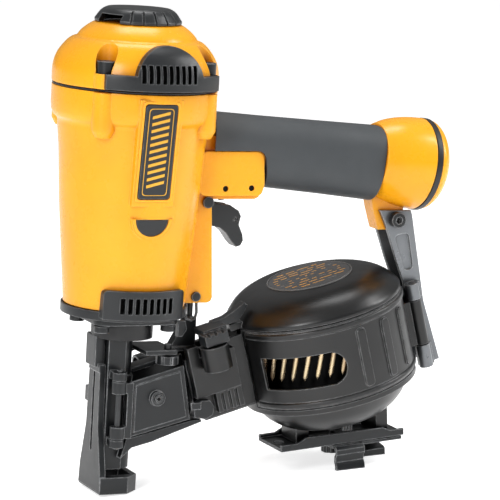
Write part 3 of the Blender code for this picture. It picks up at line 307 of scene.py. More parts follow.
def chamfered(points, closed, size):
    """Sharp corners of a line cut back a little, so that turned rims catch light."""
    spots = [Vector(point) for point in points]
    count = len(spots)
    result = []
    for i, here in enumerate(spots):
        if not closed and i in (0, count - 1):
            result.append(tuple(here))
            continue
        back, ahead = here - spots[i - 1], spots[(i + 1) % count] - here
        cut_back = min(size, back.length * 0.3, ahead.length * 0.3)
        if cut_back < 0.05 or math.degrees(back.angle(ahead)) <= CREASE_DEG:
            result.append(tuple(here))
            continue
        start, end = here - back.normalized() * cut_back, here + ahead.normalized() * cut_back
        middle = (start + end) / 4.0 + here / 2.0
        result += [tuple(start), tuple(middle), tuple(end)]
    return result


def lathe(profile, sides=28, frame=TOOL, edge=0.4, smooth=True):
    """Turn a closed loop, or an open line that ends on the axis, about Z."""
    closed = profile[0][0] > 0.0
    if smooth and sides > 6:
        profile = chamfered(eased(profile, closed), closed, edge)
        sides = min(sides * FINE, MOST_SIDES)
    bm = bmesh.new()
    verts = [bm.verts.new((r, 0.0, z)) for r, z in profile]
    for first, second in zip(verts, verts[1:]):
        bm.edges.new((first, second))
    if closed:
        bm.edges.new((verts[-1], verts[0]))
    bmesh.ops.spin(bm, geom=list(bm.verts) + list(bm.edges), cent=(0.0, 0.0, 0.0),
                   axis=(0.0, 0.0, 1.0), angle=2.0 * math.pi, steps=sides)
    bmesh.ops.remove_doubles(bm, verts=bm.verts, dist=WELD)
    return from_bmesh(bm, frame)


def rod(base, radius, height, frame=TOOL, sides=20):
    """A cylinder that stands on base and points along the frame's Z."""
    profile = [(0.0, height), (radius, height), (radius, 0.0), (0.0, 0.0)]
    return lathe(profile, sides, frame @ Matrix.Translation(base), min(0.4, radius * 0.15))


def box(low, high, frame=TOOL, bevel=0.35):
    """A box between two corners, with its edges rounded."""
    low, high = Vector(low), Vector(high)
    bm = bmesh.new()
    bmesh.ops.create_cube(bm, size=1.0)
    bmesh.ops.scale(bm, vec=high - low, verts=bm.verts)
    bmesh.ops.translate(bm, vec=(low + high) / 2.0, verts=bm.verts)
    bevel = min(bevel, min(high - low) * 0.25)
    bmesh.ops.bevel(bm, geom=bm.edges, offset=bevel, segments=2, affect="EDGES", profile=0.5)
    return from_bmesh(bm, frame)


def evaluated(obj):
    """The mesh of obj with its modifiers or its curve's thickness applied."""
    bpy.context.view_layer.update()
    graph = bpy.context.evaluated_depsgraph_get()
    return bpy.data.meshes.new_from_object(obj.evaluated_get(graph))


def from_curve(curve, points, cyclic, frame):
    """The solid that a curve with its thickness set makes along a line of points."""
    spline = curve.splines.new("POLY")
    spline.points.add(len(points) - 1)
    for point, spot in zip(spline.points, points):
        point.co = (*spot, 1.0)
    spline.use_cyclic_u = cyclic
    obj = tool_object(curve)
    bm = bmesh.new()
    bm.from_mesh(evaluated(obj))
    bpy.data.objects.remove(obj, do_unlink=True)
    bmesh.ops.remove_doubles(bm, verts=bm.verts, dist=WELD)
    return from_bmesh(bm, frame)


def plate(outline, low, high, frame=TOOL, edge=0.35):
    """An outline of (x, z) points given thickness from y = low to high, edges rounded."""
    edge = min(edge, (high - low) * 0.25)
    curve = bpy.data.curves.new("outline", "CURVE")
    curve.dimensions = "2D"
    curve.fill_mode = "BOTH"
    curve.extrude = (high - low) / 2.0 - edge
    curve.bevel_depth = edge
    curve.bevel_resolution = 1
    curve.offset = -edge
    stand = Matrix.Translation((0.0, (low + high) / 2.0, 0.0))
    stand = frame @ stand @ Matrix.Rotation(math.radians(90.0), 4, "X")
    return from_curve(curve, [(x, z, 0.0) for x, z in outline], True, stand)


def rounded(points, radius):
    """The same outline with each corner replaced by an arc."""
    result = []
    count = len(points)
    for i, corner in enumerate(points):
        here = Vector(corner)
        to_last = Vector(points[i - 1]) - here
        to_next = Vector(points[(i + 1) % count]) - here
        half = to_last.angle(to_next) / 2.0
        reach = radius / math.tan(half)
        reach = min(reach, to_last.length * 0.45, to_next.length * 0.45)
        start = here + to_last.normalized() * reach
        end = here + to_next.normalized() * reach
        for k in range(CORNER_STEPS + 1):
            t = k / CORNER_STEPS
            point = start * (1 - t) ** 2 + here * 2 * t * (1 - t) + end * t ** 2
            result.append((point.x, point.y))
    return result


def arc(centre, radius, start_deg, end_deg, steps):
    """Points on a circle between two angles, both ends included."""
    points = []
    for k in range(steps + 1):
        angle = math.radians(start_deg + (end_deg - start_deg) * k / steps)
        points.append((centre[0] + radius * math.cos(angle),
                       centre[1] + radius * math.sin(angle)))
    return points


def superellipse(x, centre_z, half_y, half_z):
    """Points round a section of the grip, between an oval and a box."""
    power, count = 2.6, 96
    points = []
    for k in range(count):
        angle = 2.0 * math.pi * k / count
        c, s = math.cos(angle), math.sin(angle)
        y = half_y * math.copysign(abs(c) ** (2.0 / power), c)
        z = half_z * math.copysign(abs(s) ** (2.0 / power), s)
        points.append((x, y, centre_z + z))
    return points


def tube(points, radius, frame=TOOL, cyclic=False):
    """Round wire or cord along a line of points."""
    curve = bpy.data.curves.new("wire", "CURVE")
    curve.dimensions = "3D"
    curve.bevel_depth = radius
    curve.bevel_resolution = 3
    curve.use_fill_caps = not cyclic
    return from_curve(curve, points, cyclic, frame)


def coil(base, radius, wire, height, rounds, frame=TOOL):
    """A spring of round wire that stands on base."""
    steps = int(rounds * COIL_STEPS)
    spots = []
    for k in range(steps + 1):
        angle = 2.0 * math.pi * k / COIL_STEPS
        spots.append((radius * math.cos(angle), radius * math.sin(angle), height * k / steps))
    return tube(spots, wire, frame @ Matrix.Translation(base))


def loose(*objs):
    """Shapes put in one mesh as they are, such as the nails of a coil."""
    bm = bmesh.new()
    for obj in objs:
        bm.from_mesh(obj.data)
        bpy.data.objects.remove(obj, do_unlink=True)
    mesh = bpy.data.meshes.new("shape")
    bm.to_mesh(mesh)
    bm.free()
    return tool_object(mesh)


def other_side(obj, first=TOOL):
    """A mirror image of obj across the tool's middle plane."""
    mesh = obj.data.copy()
    mesh.transform(first)
    mesh.transform(Matrix.Diagonal((1.0, -1.0, 1.0, 1.0)))
    mesh.flip_normals()
    return tool_object(mesh)


def show(name, obj, slot, body, finish=None):
    """Turn a working shape into a finished piece that rides on a body."""
    mesh = obj.data
    mesh.transform(ROOT_AXES)
    for vert in mesh.vertices:
        vert.co = [min(max(c, low), high) for c, low, high in zip(vert.co, *CAD_BOX)]
    mesh.materials.clear()
    mesh.materials.append(material(finish or slot))
    mesh.shade_smooth()
    mesh.set_sharp_from_angle(angle=math.radians(SHARP_DEG))
    TOOLS.objects.unlink(obj)
    PARTS.objects.link(obj)
    obj.name = name
    obj.hide_render = False
    obj.display_type = "TEXTURED"
    normals = obj.modifiers.new("normals", "WEIGHTED_NORMAL")
    normals.keep_sharp = True
    normals.weight = 80
    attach(obj, body)
    return obj


def part(name, obj, slot, finish=None):
    """A finished piece that stands for the frame's node of the same name."""
    piece = show(name + "_fine", obj, slot, BODY_OF[name], finish)
    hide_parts(name)
    return piece


def mirrored(name, source):
    """A copy of a finished left piece for the tool's right side."""
    twin = other_side(source, ROOT_AXES.inverted())
    slot = source.data.materials[0].name.removeprefix("look_")
    return part(name, twin, slot)


# --- materials ----------------------------------------------------------------

# Base colour, edge colour for wear and painted highlight, roughness, metallic, specular,
# coat, fineness and depth of the grain, amount of edge wear and painted highlight
INK = (0.4, 0.0, 0.4, 0.0, 2000.0, 0.02, 0.1)
FINISHES = {
    "yellow": ((0.940, 0.400, 0.009), (1.0, 0.62, 0.12), 0.27, 0.0, 0.35, 0.0, 700.0, 0.010, 0.5),
    "black_plastic": ((0.011, 0.0125, 0.014), (0.20, 0.205, 0.21), 0.34, 0.0, 0.45, 0.0, 2600.0,
                      0.10, 0.7),
    "grip_rubber": ((0.046, 0.052, 0.057), (0.10, 0.105, 0.11), 0.60, 0.0, 0.5, 0.0, 1900.0,
                    0.16, 0.5),
    "black_gloss": ((0.004, 0.0042, 0.0045), (0.30, 0.305, 0.31), 0.33, 0.0, 0.5, 0.0, 900.0,
                    0.02, 0.7),
    "black_metal": ((0.013, 0.0145, 0.016), (0.42, 0.43, 0.44), 0.33, 0.15, 0.42, 0.0, 1500.0,
                    0.09, 0.85),
    "arm_metal": ((0.19, 0.20, 0.212), (0.55, 0.56, 0.57), 0.30, 0.6, 0.5, 0.0, 1200.0,
                  0.06, 0.8),
    "steel": ((0.52, 0.52, 0.54), (0.75, 0.75, 0.76), 0.28, 1.0, 0.5, 0.0, 1800.0, 0.05, 0.5),
    "rubber": ((0.008, 0.008, 0.009), (0.04, 0.04, 0.04), 0.42, 0.0, 0.5, 0.0, 1500.0, 0.08,
               0.3),
    "white_plastic": ((0.72, 0.71, 0.67), (0.8, 0.8, 0.78), 0.4, 0.0, 0.5, 0.0, 900.0, 0.03,
                      0.3),
    "brass_nails": ((0.70, 0.56, 0.34), (0.85, 0.78, 0.62), 0.26, 0.8, 0.5, 0.0, 1500.0, 0.05,
                    0.5),
    "aluminium": ((0.60, 0.61, 0.62), (0.8, 0.8, 0.8), 0.35, 1.0, 0.5, 0.0, 1500.0, 0.05, 0.5),
    "lid_label": ((0.050, 0.051, 0.053), (0.08, 0.08, 0.08), 0.34, 0.0, 0.5, 0.2, 2000.0, 0.02,
                  0.1),
    "orange_ink": ((0.62, 0.33, 0.09), (0.70, 0.40, 0.14), *INK),
    "yellow_ink": ((0.78, 0.40, 0.03), (0.85, 0.5, 0.10), *INK),
    "pale_ink": ((0.17, 0.17, 0.17), (0.3, 0.3, 0.3), *INK),
    # painted shade: near-black for sheets put where there is only shadow
    "shade": ((0.003, 0.003, 0.003), (0.01, 0.01, 0.01), 0.7, 0.0, 0.2, 0.0, 1500.0, 0.05, 0.1),
}


EDGE_RADIUS = 0.0007        # how round the edges look
WEAR_AND_HIGHLIGHT_WIDTH = 0.0009         # how far edge wear and painted highlight reach from an edge
PAINTED_SHADE_REACH = 0.014        # how far the painted shade in corners and recesses reaches
GRAIN_HEIGHT = 0.0004


def shade_of(colour, *amounts):
    """The colour with each channel multiplied; one amount serves all three."""
    return tuple(c * s for c, s in zip(colour, amounts * 3))


def material(slot):
    """Procedural finish: tone drift, grain, edges lightened as wear and painted highlight, and
    painted shade in corners.
    """
    name = "look_" + slot
    found = bpy.data.materials.get(name)
    if found:
        return found
    base, edge_wear_and_highlight, roughness, metallic, specular, coat, grain, depth, wear_and_highlight = FINISHES[slot]
    made = bpy.data.materials.new(name)
    made.use_nodes = True
    tree = made.node_tree
    nodes, link = tree.nodes, tree.links.new
    shader = nodes["Principled BSDF"]
    place = nodes.new("ShaderNodeTexCoord")

    def noise(scale, detail=4.0, rough=0.55):
        node = nodes.new("ShaderNodeTexNoise")
        node.inputs["Scale"].default_value = scale
        node.inputs["Detail"].default_value = detail
        node.inputs["Roughness"].default_value = rough
        link(place.outputs["Object"], node.inputs["Vector"])
        return node.outputs["Fac"]

    def ramp(value, low, high, start=0.0, end=1.0):
        node = nodes.new("ShaderNodeMapRange")
        node.inputs["From Min"].default_value = low
        node.inputs["From Max"].default_value = high
        node.inputs["To Min"].default_value = start
        node.inputs["To Max"].default_value = end
        link(value, node.inputs["Value"])
        return node.outputs["Result"]

    def maths(operation, first, second):
        node = nodes.new("ShaderNodeMath")
        node.operation = operation
        for socket, value in zip(node.inputs, (first, second)):
            if isinstance(value, float):
                socket.default_value = value
            else:
                link(value, socket)
        return node.outputs["Value"]

    def mixed(amount, first, second):
        node = nodes.new("ShaderNodeMix")
        node.data_type = "RGBA"
        link(amount, node.inputs["Factor"])
        for socket, value in zip((node.inputs["A"], node.inputs["B"]), (first, second)):
            if isinstance(value, tuple):
                socket.default_value = (*value, 1.0)
            else:
                link(value, socket)
        return node.outputs["Result"]

    def bevel(radius):
        node = nodes.new("ShaderNodeBevel")
        node.samples = 4
        node.inputs["Radius"].default_value = radius
        return node.outputs["Normal"]

    geometry = nodes.new("ShaderNodeNewGeometry")
    facing = nodes.new("ShaderNodeVectorMath")
    facing.operation = "DOT_PRODUCT"
    link(bevel(WEAR_AND_HIGHLIGHT_WIDTH), facing.inputs[0])
    link(geometry.outputs["Normal"], facing.inputs[1])
    edge = ramp(facing.outputs["Value"], 0.998, 0.91)      # where the two normals part
    # painted highlight with some real wear: edges lightened towards the edge colour, broken up by
    # noise
    rubbed_and_highlit = maths("MULTIPLY", edge, ramp(noise(260.0), 0.35, 0.62, 0.4, 1.0))
    rubbed_and_highlit = maths("MULTIPLY", rubbed_and_highlit, wear_and_highlight)
    tone = mixed(ramp(noise(22.0), 0.3, 0.7), shade_of(base, 0.86), base)
    # painted shade: ambient occlusion darkens the base colour in corners, creases and recesses
    corner = nodes.new("ShaderNodeAmbientOcclusion")
    corner.samples = 6
    corner.inputs["Distance"].default_value = PAINTED_SHADE_REACH
    painted_shade_scale = (0.62, 0.40, 0.35) if base[0] > 0.5 else (0.12, 0.12, 0.12)
    tone = mixed(ramp(corner.outputs["AO"], 0.2, 0.8), shade_of(base, *painted_shade_scale), tone)
    tone = mixed(rubbed_and_highlit, tone, edge_wear_and_highlight)
    link(tone, shader.inputs["Base Color"])
    shader.inputs["Metallic"].default_value = metallic
    smear = ramp(noise(60.0, 6.0, 0.65), 0.3, 0.7, roughness * 0.85, roughness * 1.2)
    link(smear, shader.inputs["Roughness"])
    shader.inputs["Specular IOR Level"].default_value = specular
    shader.inputs["Coat Weight"].default_value = coat
    shader.inputs["Coat Roughness"].default_value = 0.12
    bump = nodes.new("ShaderNodeBump")
    bump.inputs["Strength"].default_value = 1.0
    bump.inputs["Distance"].default_value = GRAIN_HEIGHT
    link(maths("MULTIPLY", noise(grain, 3.0), depth), bump.inputs["Height"])
    link(bevel(EDGE_RADIUS), bump.inputs["Normal"])
    link(bump.outputs["Normal"], shader.inputs["Normal"])
    return made


# --- cylinder cap, knob and their fittings ----------------------------------

CAP_OUTER = [(0, CAP_TOP), (23.2, CAP_TOP), (28, 253.9), (31.6, 250.4), (32.5, 249),
             (35.3, 247.8), (40.4, 242.9), (43.9, 236.7), (45, 231.8), (CAP_R, CAP_BASE)]


def make_cap():
    cap = lathe(CAP_OUTER + [(0, CAP_BASE)], 32)
    for x, y in CAP_SCREWS:
        fuse(cap, rod((x, y, CAP_BASE + 0.2), 6.5, 8, sides=10))
        cut(cap, rod((x, y, POCKET_FLOOR), 5.7, 40, sides=10))
    cavity = lathe([(0, 243.5), (28, 243.5), (32.5, 240), (32.5, CAP_BASE - 1),
                    (0, CAP_BASE - 1)])
    cut(cap, cavity)
    cut(cap, rod((0, 0, 240), 12, 20))
    drill(cap, CAP_SCREWS, CAP_BASE - 1, 2.8, 10)
    part("cylinder_cap", cap, "yellow")


def make_cap_screws():
    """Socket head screws: a head in each pocket and a shank down into the body."""
    for number, (x, y) in enumerate(CAP_SCREWS, 1):
        floor = POCKET_FLOOR + GAP
        screw = rod((x, y, floor), 5, 8, sides=12)
        fuse(screw, rod((x, y, floor - 24), 2.45, 24.5, sides=8))
        cut(screw, rod((x, y, floor + 4.5), 2.5, 5, sides=6))
        part(f"cap_screw_{number}", screw, "black_metal")


GROOVE = [(22.5, 256), (27, 256), (27, 267), (19.6, 267), (18.4, 263.3), (22.5, 258.2)]


def make_deflector():
    """Ribbed exhaust deflector: open below, its outlet forward and a little to the left."""
    profile = [(0, KNOB_TOP), (17, KNOB_TOP), (19.4, 263.8), (KNOB_R, 258.6), (KNOB_R, KNOB_BASE),
               (0, KNOB_BASE)]
    knob = lathe(profile, 28)
    cut(knob, rod((0, 0, KNOB_BASE - 1), 19.5, 5.5, sides=32))
    outlet = turned(OUTLET_DEG)
    cut(knob, box((10, -8, KNOB_BASE - 1), (30, 8, 261.7), outlet))
    for k in range(18):
        cut(knob, plate(GROOVE, -0.55, 0.55, turned(35 + 17 * k, outlet), edge=0))
    part("exhaust_deflector", knob, "black_plastic")


# --- side guards -------------------------------------------------------------

def offset_profile(profile, amount):
    return [(r + amount, z) for r, z in profile]


def make_upper_guard():
    """Guard that hugs the cap's side: a band with a louvred half round hump."""
    side = [(35.3, 247.8), (40.4, 242.9), (43.9, 236.7), (45, 231.8), (CAP_R, 224.3)]
    outer = offset_profile(side, 4.4)
    inner = offset_profile(side, 0.4)
    shell = lathe([(outer[0][0], 250)] + outer + inner[::-1] + [(inner[0][0], 250)], 36)
    hump = arc((1.2, 229), 19.3, 10, 170, 30)
    outline = [(33.2, 224.5), (33.2, 232.5), (23, 232.5)] + hump
    outline += [(-21, 232.5), (-32.2, 232.5), (-32.2, 224.5)]
    common(shell, plate(outline, -60, -20))
    drill(shell, ((-SCREW_XY, -SCREW_XY), (SCREW_XY, -SCREW_XY)), 222, 6.9, 30, 16)
    for k in range(9):
        x = 0.1 + 3.65 * (k - 4)
        cut(shell, box((x - 1.15, -60, 228.8), (x + 1.15, -41, 238.4)))
    # painted shade: near-black sheets behind the louvres, so the slots read dark
    shade_sheet = lathe(offset_profile(side, 1.5) + offset_profile(side, 0.6)[::-1], 36)
    common(shade_sheet, plate([(-15.9, 227), (16.2, 227), (16.2, 238), (13, 239.2), (-12, 239.2),
                         (-15.9, 237.2)], -60, -20))
    right = other_side(shade_sheet)
    show("vent_shade_left", shade_sheet, "shade", "body")
    show("vent_shade_right", right, "shade", "body")
    guard = part("upper_guard_left", shell, "black_plastic")
    mirrored("upper_guard_right", guard)


def make_lower_guard():
    """Bumper ring under the body with a louvred panel on each side."""
    guard = ring(25, 34.4, 98.6, BODY_BASE - GAP)
    band = [(38.3, 116.5), (38, 100.2), (33, 100.2), (33, 103.5), (34.2, 104.5), (35.1, 116.5)]
    panels = lathe(band)
    reach = rounded([(-24, 99), (21.8, 99), (21.8, 116.2), (-24, 116.2)], 2.5)
    common(panels, plate(reach, -60, 60))
    fuse(guard, panels)
    # painted shade: a near-black ring behind the panels' louvres, so the slots read dark
    shade_sheet = ring(33.7, 34.05, 103.8, 113.2, 40)
    show("low_vent_shade", common(shade_sheet, box((-17.5, -60, 100), (15, 60, 120))), "shade", "body")
    for k in range(8):
        x = -1.2 + 3.9 * (k - 3.5)
        cut(guard, box((x - 1.2, -60, 103.9), (x + 1.2, -31, 112.4)))
        cut(guard, box((x - 1.2, 31, 103.9), (x + 1.2, 60, 112.4)))
    drill(guard, BASE_SCREWS, 97, 3, 10, 10)
    part("lower_guard", guard, "black_plastic")


# --- body housing ------------------------------------------------------------

BODY_OUTER = [(0, BODY_TOP), (44.9, BODY_TOP), (44.6, 209), (43.4, 206.2), (41.4, 204.2),
              (40.8, 200), (37.8, 158), (35.4, 130), (33.5, 108), (33.2, BODY_BASE),
              (0, BODY_BASE)]
SIDE_LEAN = math.radians(6.2)
SIDE_PAD = Matrix.Translation((-2.2, -44.4, 222)) @ Matrix.Rotation(SIDE_LEAN, 4, "X")
WEB_HALF = 12.5
LABEL_HALF, LABEL_TOP, LABEL_BOTTOM = 9.1, -4.5, -55.8
MOON_X, MOON_TOP, MOON_R = 0.7, -67.2, 9.2
CORE_AXIS = HANDLE @ Matrix.Translation((0, 0, -CORE_DROP)) @ ALONG_X
BALL_PROFILE = [(0, 175.9), (26.1, 175.9), (25.7, 168.5), (25, 163), (24, 158), (22.4, 153),
                (19.9, 147.7), (0, 147.7)]


def web_outline():
    """Side view of the rear web and the trigger housing."""
    return [(20, 105), (44.5, 105), (46.6, 105.9), (47.4, 108), (43.9, 162.5), (69.6, 162.4),
            (72, 163.6), (73.6, 170), (73.6, 197.5), (20, 197.5)]


def cheek_outline():
    """Side view of the fuller part that fills the grip's notch."""
    return rounded([(34, 164.5), (72, 164.5), (73.8, 170.6), (72.4, 189.2), (34, 189.2)], 6)


def half_moon(radius):
    return arc((0, 0), radius, 180, 360, 24)


def side_pad():
    """Flat sloping face on the tool's side that carries the label."""
    return loft([[(-12.4, 0, -2.2), (12.4, 0, -2.2), (12.4, 18, -2.2), (-12.4, 18, -2.2)],
                 [(-12, 0, -60), (12, 0, -60), (12, 18, -60), (-12, 18, -60)]], SIDE_PAD)


def moon_pad():
    outline = [(-12, 0.6)] + half_moon(12) + [(12, 0.6)]
    return plate(outline, -0.2, 8, moon_frame())


def label_outline(grow):
    half = LABEL_HALF + grow
    points = [(-half, LABEL_BOTTOM - grow), (half, LABEL_BOTTOM - grow), (half, LABEL_TOP + grow),
              (-half, LABEL_TOP + grow)]
    return rounded(points, 2.2)


def moon_frame():
    return SIDE_PAD @ Matrix.Translation((MOON_X, 0, MOON_TOP))


def make_side_badges():
    label = plate(label_outline(0), -0.6, 0.7, SIDE_PAD)
    mirrored("label_plate_right", part("label_plate_left", label, "black_plastic"))
    moon = plate(half_moon(MOON_R), -0.2, 1, moon_frame())
    mirrored("side_insert_right", part("side_insert_left", moon, "black_plastic"))


def make_housing():
    body = lathe(BODY_OUTER, 32)
    pads = [side_pad(), moon_pad()]
    pads += [other_side(pad) for pad in pads]
    bosses = [lathe([(0, BODY_TOP - 0.2), (6.5, BODY_TOP - 0.2), (6.5, 202), (4.4, 198),
                     (0, 197.4)], 10, Matrix.Translation((x, y, 0))) for x, y in CAP_SCREWS]
    web = plate(web_outline(), -WEB_HALF, WEB_HALF)
    cheeks = plate(cheek_outline(), -15.6, 15.6)
    core = rod((0, 0, 60), CORE_R, 92, CORE_AXIS, 16)
    ball = lathe(BALL_PROFILE, 24, HANDLE @ ALONG_X)
    tongue = plate([(145, 164), (166, 164), (166.4, 148), (161.5, 143.6), (151, 143.6),
                    (147, 155.5)], -5.6, 5.6)
    fuse(body, *pads, *bosses, web, cheeks, core, ball, tongue)
    hollow_housing(body)
    part("housing", body, "yellow")


def hollow_housing(body):
    """Bores, air spaces, screw holes and the shallow seats of the labels."""
    bore = lathe([(0, BODY_TOP + 1), (29.5, BODY_TOP + 1), (29.5, 110.5), (8, 110.5),
                  (8, BODY_BASE - 1), (0, BODY_BASE - 1)])
    chamber = lathe([(0, 177), (22.4, 177), (22.4, 166), (18, 156), (10, 153), (0, 153)],
                    16, HANDLE @ ALONG_X)
    passage = rod((0, 0, 20), 10.5, 140, CORE_AXIS, 12)
    cut(body, bore, chamber, passage)
    trigger_slot = box((33, -5.4, 138), (50, 5.4, 166))
    rod_bore = rod((ROD_X, 0, 100), 2.2, 50, sides=8)
    spring_bore = rod((ROD_X, 0, 100), 4.4, 37, sides=12)
    valve_bore = rod((VALVE_X, 0, 155), 6.3, 26, sides=16)
    valve_port = rod((VALVE_X, 0, 175), 2.5, 12, sides=8)
    pin_bore = cross_rod(*TRIGGER_PIVOT, -20, 20, 2.3, 12)
    screw_bore = cross_rod(*arm_screw_xz(), -20, 20, 2.9, 12)
    cut(body, trigger_slot, rod_bore, spring_bore, valve_bore, valve_port, pin_bore, screw_bore)
    drill(body, CAP_SCREWS, 200, 2.8, 30)
    drill(body, BASE_SCREWS, BODY_BASE - 1, 2.6, 5.8)
    pins = [cross_rod(x, z, low, low + 3, 1.7, 8) for x, z in CHEEK_PINS for low in (-17, 14)]
    cut(body, *pins)
    label = plate(label_outline(GAP), -5, 1, SIDE_PAD)
    moon = plate(half_moon(MOON_R + GAP), -5, 1.3, moon_frame()
                 @ Matrix.Translation((0, 0, GAP / 2)))
    cut(body, other_side(label), label, other_side(moon), moon)


def arm_screw_xz():
    spot = MAG @ Vector((ARM_SCREW_UW[0], 0, ARM_SCREW_UW[1]))
    return spot.x, spot.z


def make_grip():
    """Rubber sleeve over the handle core, notched around the trigger housing."""
    slices = []
    for x, half_z, half_y in ((GRIP_START, 19.2, 17), (76, 19.6, 17),
                              (112, 20.3, 17.6)):
        slices.append(superellipse(x, 187.5 - 0.0884 * (x - 76), half_y, half_z))
    last = superellipse(GRIP_END, -2.5, 18.3, 21.1)
    slices.append([HANDLE @ Vector(point) for point in last])
    grip = loft(slices)
    notch = rounded([(20, 150), (79.5, 150), (72.7, 189.6), (20, 189.6)], 6.4)
    neck = box((20, -WEB_HALF - GAP, 150), (73.9, WEB_HALF + GAP, 197.9))
    core = rod((0, 0, 20), CORE_R + 0.5, 160, CORE_AXIS, 16)
    cut(grip, plate(notch, -40, 40), neck, core)
    cut(grip, rod((0, 0, 150), 45.5, 80, sides=36))
    part("grip_sleeve", grip, "grip_rubber")


def make_handle_end():
    frame = HANDLE @ ALONG_X
    seal = ring(21.9, RING_R, 176.2, 179.4, 24, frame)
    part("end_cap_seal", seal, "rubber")
    profile = [(21.6, 171.5), (21.6, 179.7), (25.8, 179.7), (25.3, 181.8), (23.6, 184.2),
               (20.8, 186.4), (16.8, 188.4), (12, 189.8), (9.3, 189.8), (9.3, 180), (16, 179),
               (19, 176), (19, 171.5)]
    part("end_cap", lathe(profile, 24, frame), "yellow")
    inlet = ring(6.2, 9, 174, END_S, 20, frame)
    part("air_inlet", inlet, "steel")


# --- trigger group -----------------------------------------------------------

def trigger_outline():
    px, pz = TRIGGER_PIVOT
    nose = arc((px, pz), 4, 235, 95, 18)
    return nose + [(46.4, 159.6), (58.6, 158), (64, 154.8), (65.6, 151.8), (64.6, 147),
                   (67.2, 141.4), (67.7, 138), (66.2, 135.3), (63.6, 134.6), (60.9, 137.3),
                   (57, 142.5), (53.2, 145.4), (47.5, 146.6), (43.4, 151)]


def make_trigger():
    px, pz = TRIGGER_PIVOT
    trigger = plate(trigger_outline(), -4.9, 4.9)
    cut(trigger, box((35, -2.3, 148.6), (64.6, 2.3, 170)))
    cut(trigger, cross_rod(px, pz, -10, 10, 2.3))
    cut(trigger, cross_rod(*LEVER_PIVOT, -10, 10, 1.4, 12))
    part("trigger", trigger, "black_plastic")
    pin = cross_rod(px, pz, -13.4, 13.4, 1.95)
    for low, high in ((-14.6, -12.9), (12.9, 14.6)):
        fuse(pin, cross_rod(px, pz, low, high, 3.2, 16))
    part("trigger_pin", pin, "black_metal")
    frame = Matrix.Translation((px, -1.6, pz)) @ ALONG_Y
    part("trigger_spring", coil((0, 0, 0), 2.6, 0.35, 3.2, 2.5, frame), "steel")
    make_trip_lever()


def make_trip_lever():
    lx, lz = LEVER_PIVOT
    bar = plate(rounded([(38.6, 150.4), (38.6, 151.9), (54, 156.8), (63.8, 152.2), (63.8, 149),
                         (58, 149)], 0.8), -1.8, 1.8)
    fuse(bar, cross_rod(lx, lz, -4.7, 4.7, 1.15, 12))
    # painted shade: the steel lever is given the dark metal finish so its end in the trigger's
    # hole reads dark
    part("trip_lever", bar, "steel", finish="black_metal")


def make_trigger_valve():
    valve = rod((VALVE_X, 0, 161.9), 6, 17.2, sides=20)
    cut(valve, rod((VALVE_X, 0, 158), 2.1, 24, sides=12))
    part("trigger_valve", valve, "white_plastic")
    stem = rod((VALVE_X, 0, STEM_FOOT), 1.7, 13.5, sides=12)
    part("valve_stem", stem, "steel")


# --- nosepiece, trip and feed --------------------------------------------------

def make_nosepiece():
    """Casting under the body: flange, tower, drive column and feed channel."""
    flange = rounded([(-23.5, -23), (25, -23), (25, 23), (-23.5, 23)], 8)
    nose = plate(flange, -98.3, -95, FLAT)
    tower = box((-11, -9.4, 66), (-0.5, 9.4, 96))
    tube = rod((0, 0, 60), 6.2, 36, sides=16)
    column = box((-10.9, -9.3, 12.6), (-0.3, 9.3, 67))
    barrel = rod((0, 0, 12.5), 7.2, 52, sides=16)
    far_wall = plate([(2, -15.5), (44.6, -15.5), (44.6, 13.2), (2, 13.2)], 6, 9.2, FEED)
    floor = plate([(-3, 19.5), (3.5, 25.5), (15.2, 28.4), (28.1, 32.9), (44.6, 38.6), (44, 40),
                   (37.4, 39.4), (0, 30.6)], -14.4, 8)
    roof = plate([(2, 63.6), (31, 71.9), (31, 74.6), (2, 66.4)], -2, 8)
    lug = plate([(37, 38.5), (45, 40.4), (46.4, 46), (44, 48.4), (39.6, 47.6)], -11.6, -7.6)
    strip = plate([(41, 38.2), (43.9, 39.2), (46.9, 45.9), (39.3, 72.8), (35.3, 71.7),
                   (43, 44.8)], -7.4, -5.4)
    fuse(nose, tower, tube, column, barrel, far_wall, floor, roof, lug, strip)
    x, y = DOOR_HINGE
    for low, high in ((26.6, 31), (63.7, 68.4)):
        fuse(nose, rod((x, y, low), 4, high - low, sides=14))
        fuse(nose, box((x - 3, y + 1, low + 0.2), (x + 4, -8, high - 0.2)))
    cut(nose, rod((0, 0, 5), 5.2, 58, sides=16))
    cut(nose, rod((0, 0, 60), 3.6, 40, sides=12))
    cut(nose, box((0, -5.2, -16), (10, 5.2, 12), FEED))
    cut(nose, box((6, -2.2, -21.8), (60, 2.2, -12), FEED))
    cut(nose, rod((x, y, 20), 1.9, 60, sides=12))
    cut(nose, cross_rod(*LATCH_PIVOT, -13, -6, 1.8, 12))
    drill(nose, BASE_SCREWS, 90, 2.6, 10)
    cut(nose, box((5.5, 5, -2.6), (30, 11, 6), FEED))
    cut(nose, box((6, -8, 12), (9, 8, 17)))
    fuse(nose, box((11.5, 8, 6.4), (40, 13, 12.4), FEED))
    part("nosepiece", nose, "black_metal")


def make_base_screws():
    for number, (x, y) in enumerate(BASE_SCREWS, 1):
        screw = rod((x, y, 91), 4.2, 3.7, sides=12)
        fuse(screw, rod((x, y, 94), 2.2, 14, sides=8))
        cut(screw, rod((x, y, 90), 2.1, 3.4, sides=6))
        part(f"base_screw_{number}", screw, "black_metal")


def foot_outline(grow):
    """Plan view of the foot, as (x, y) pairs."""
    half = FOOT_HALF + grow
    return [(-14.6 - grow, -half), (1.8, -half), (9.6 + grow, -8.2), (9.6 + grow, 8.2),
            (1.8, half), (-14.6 - grow, half)]


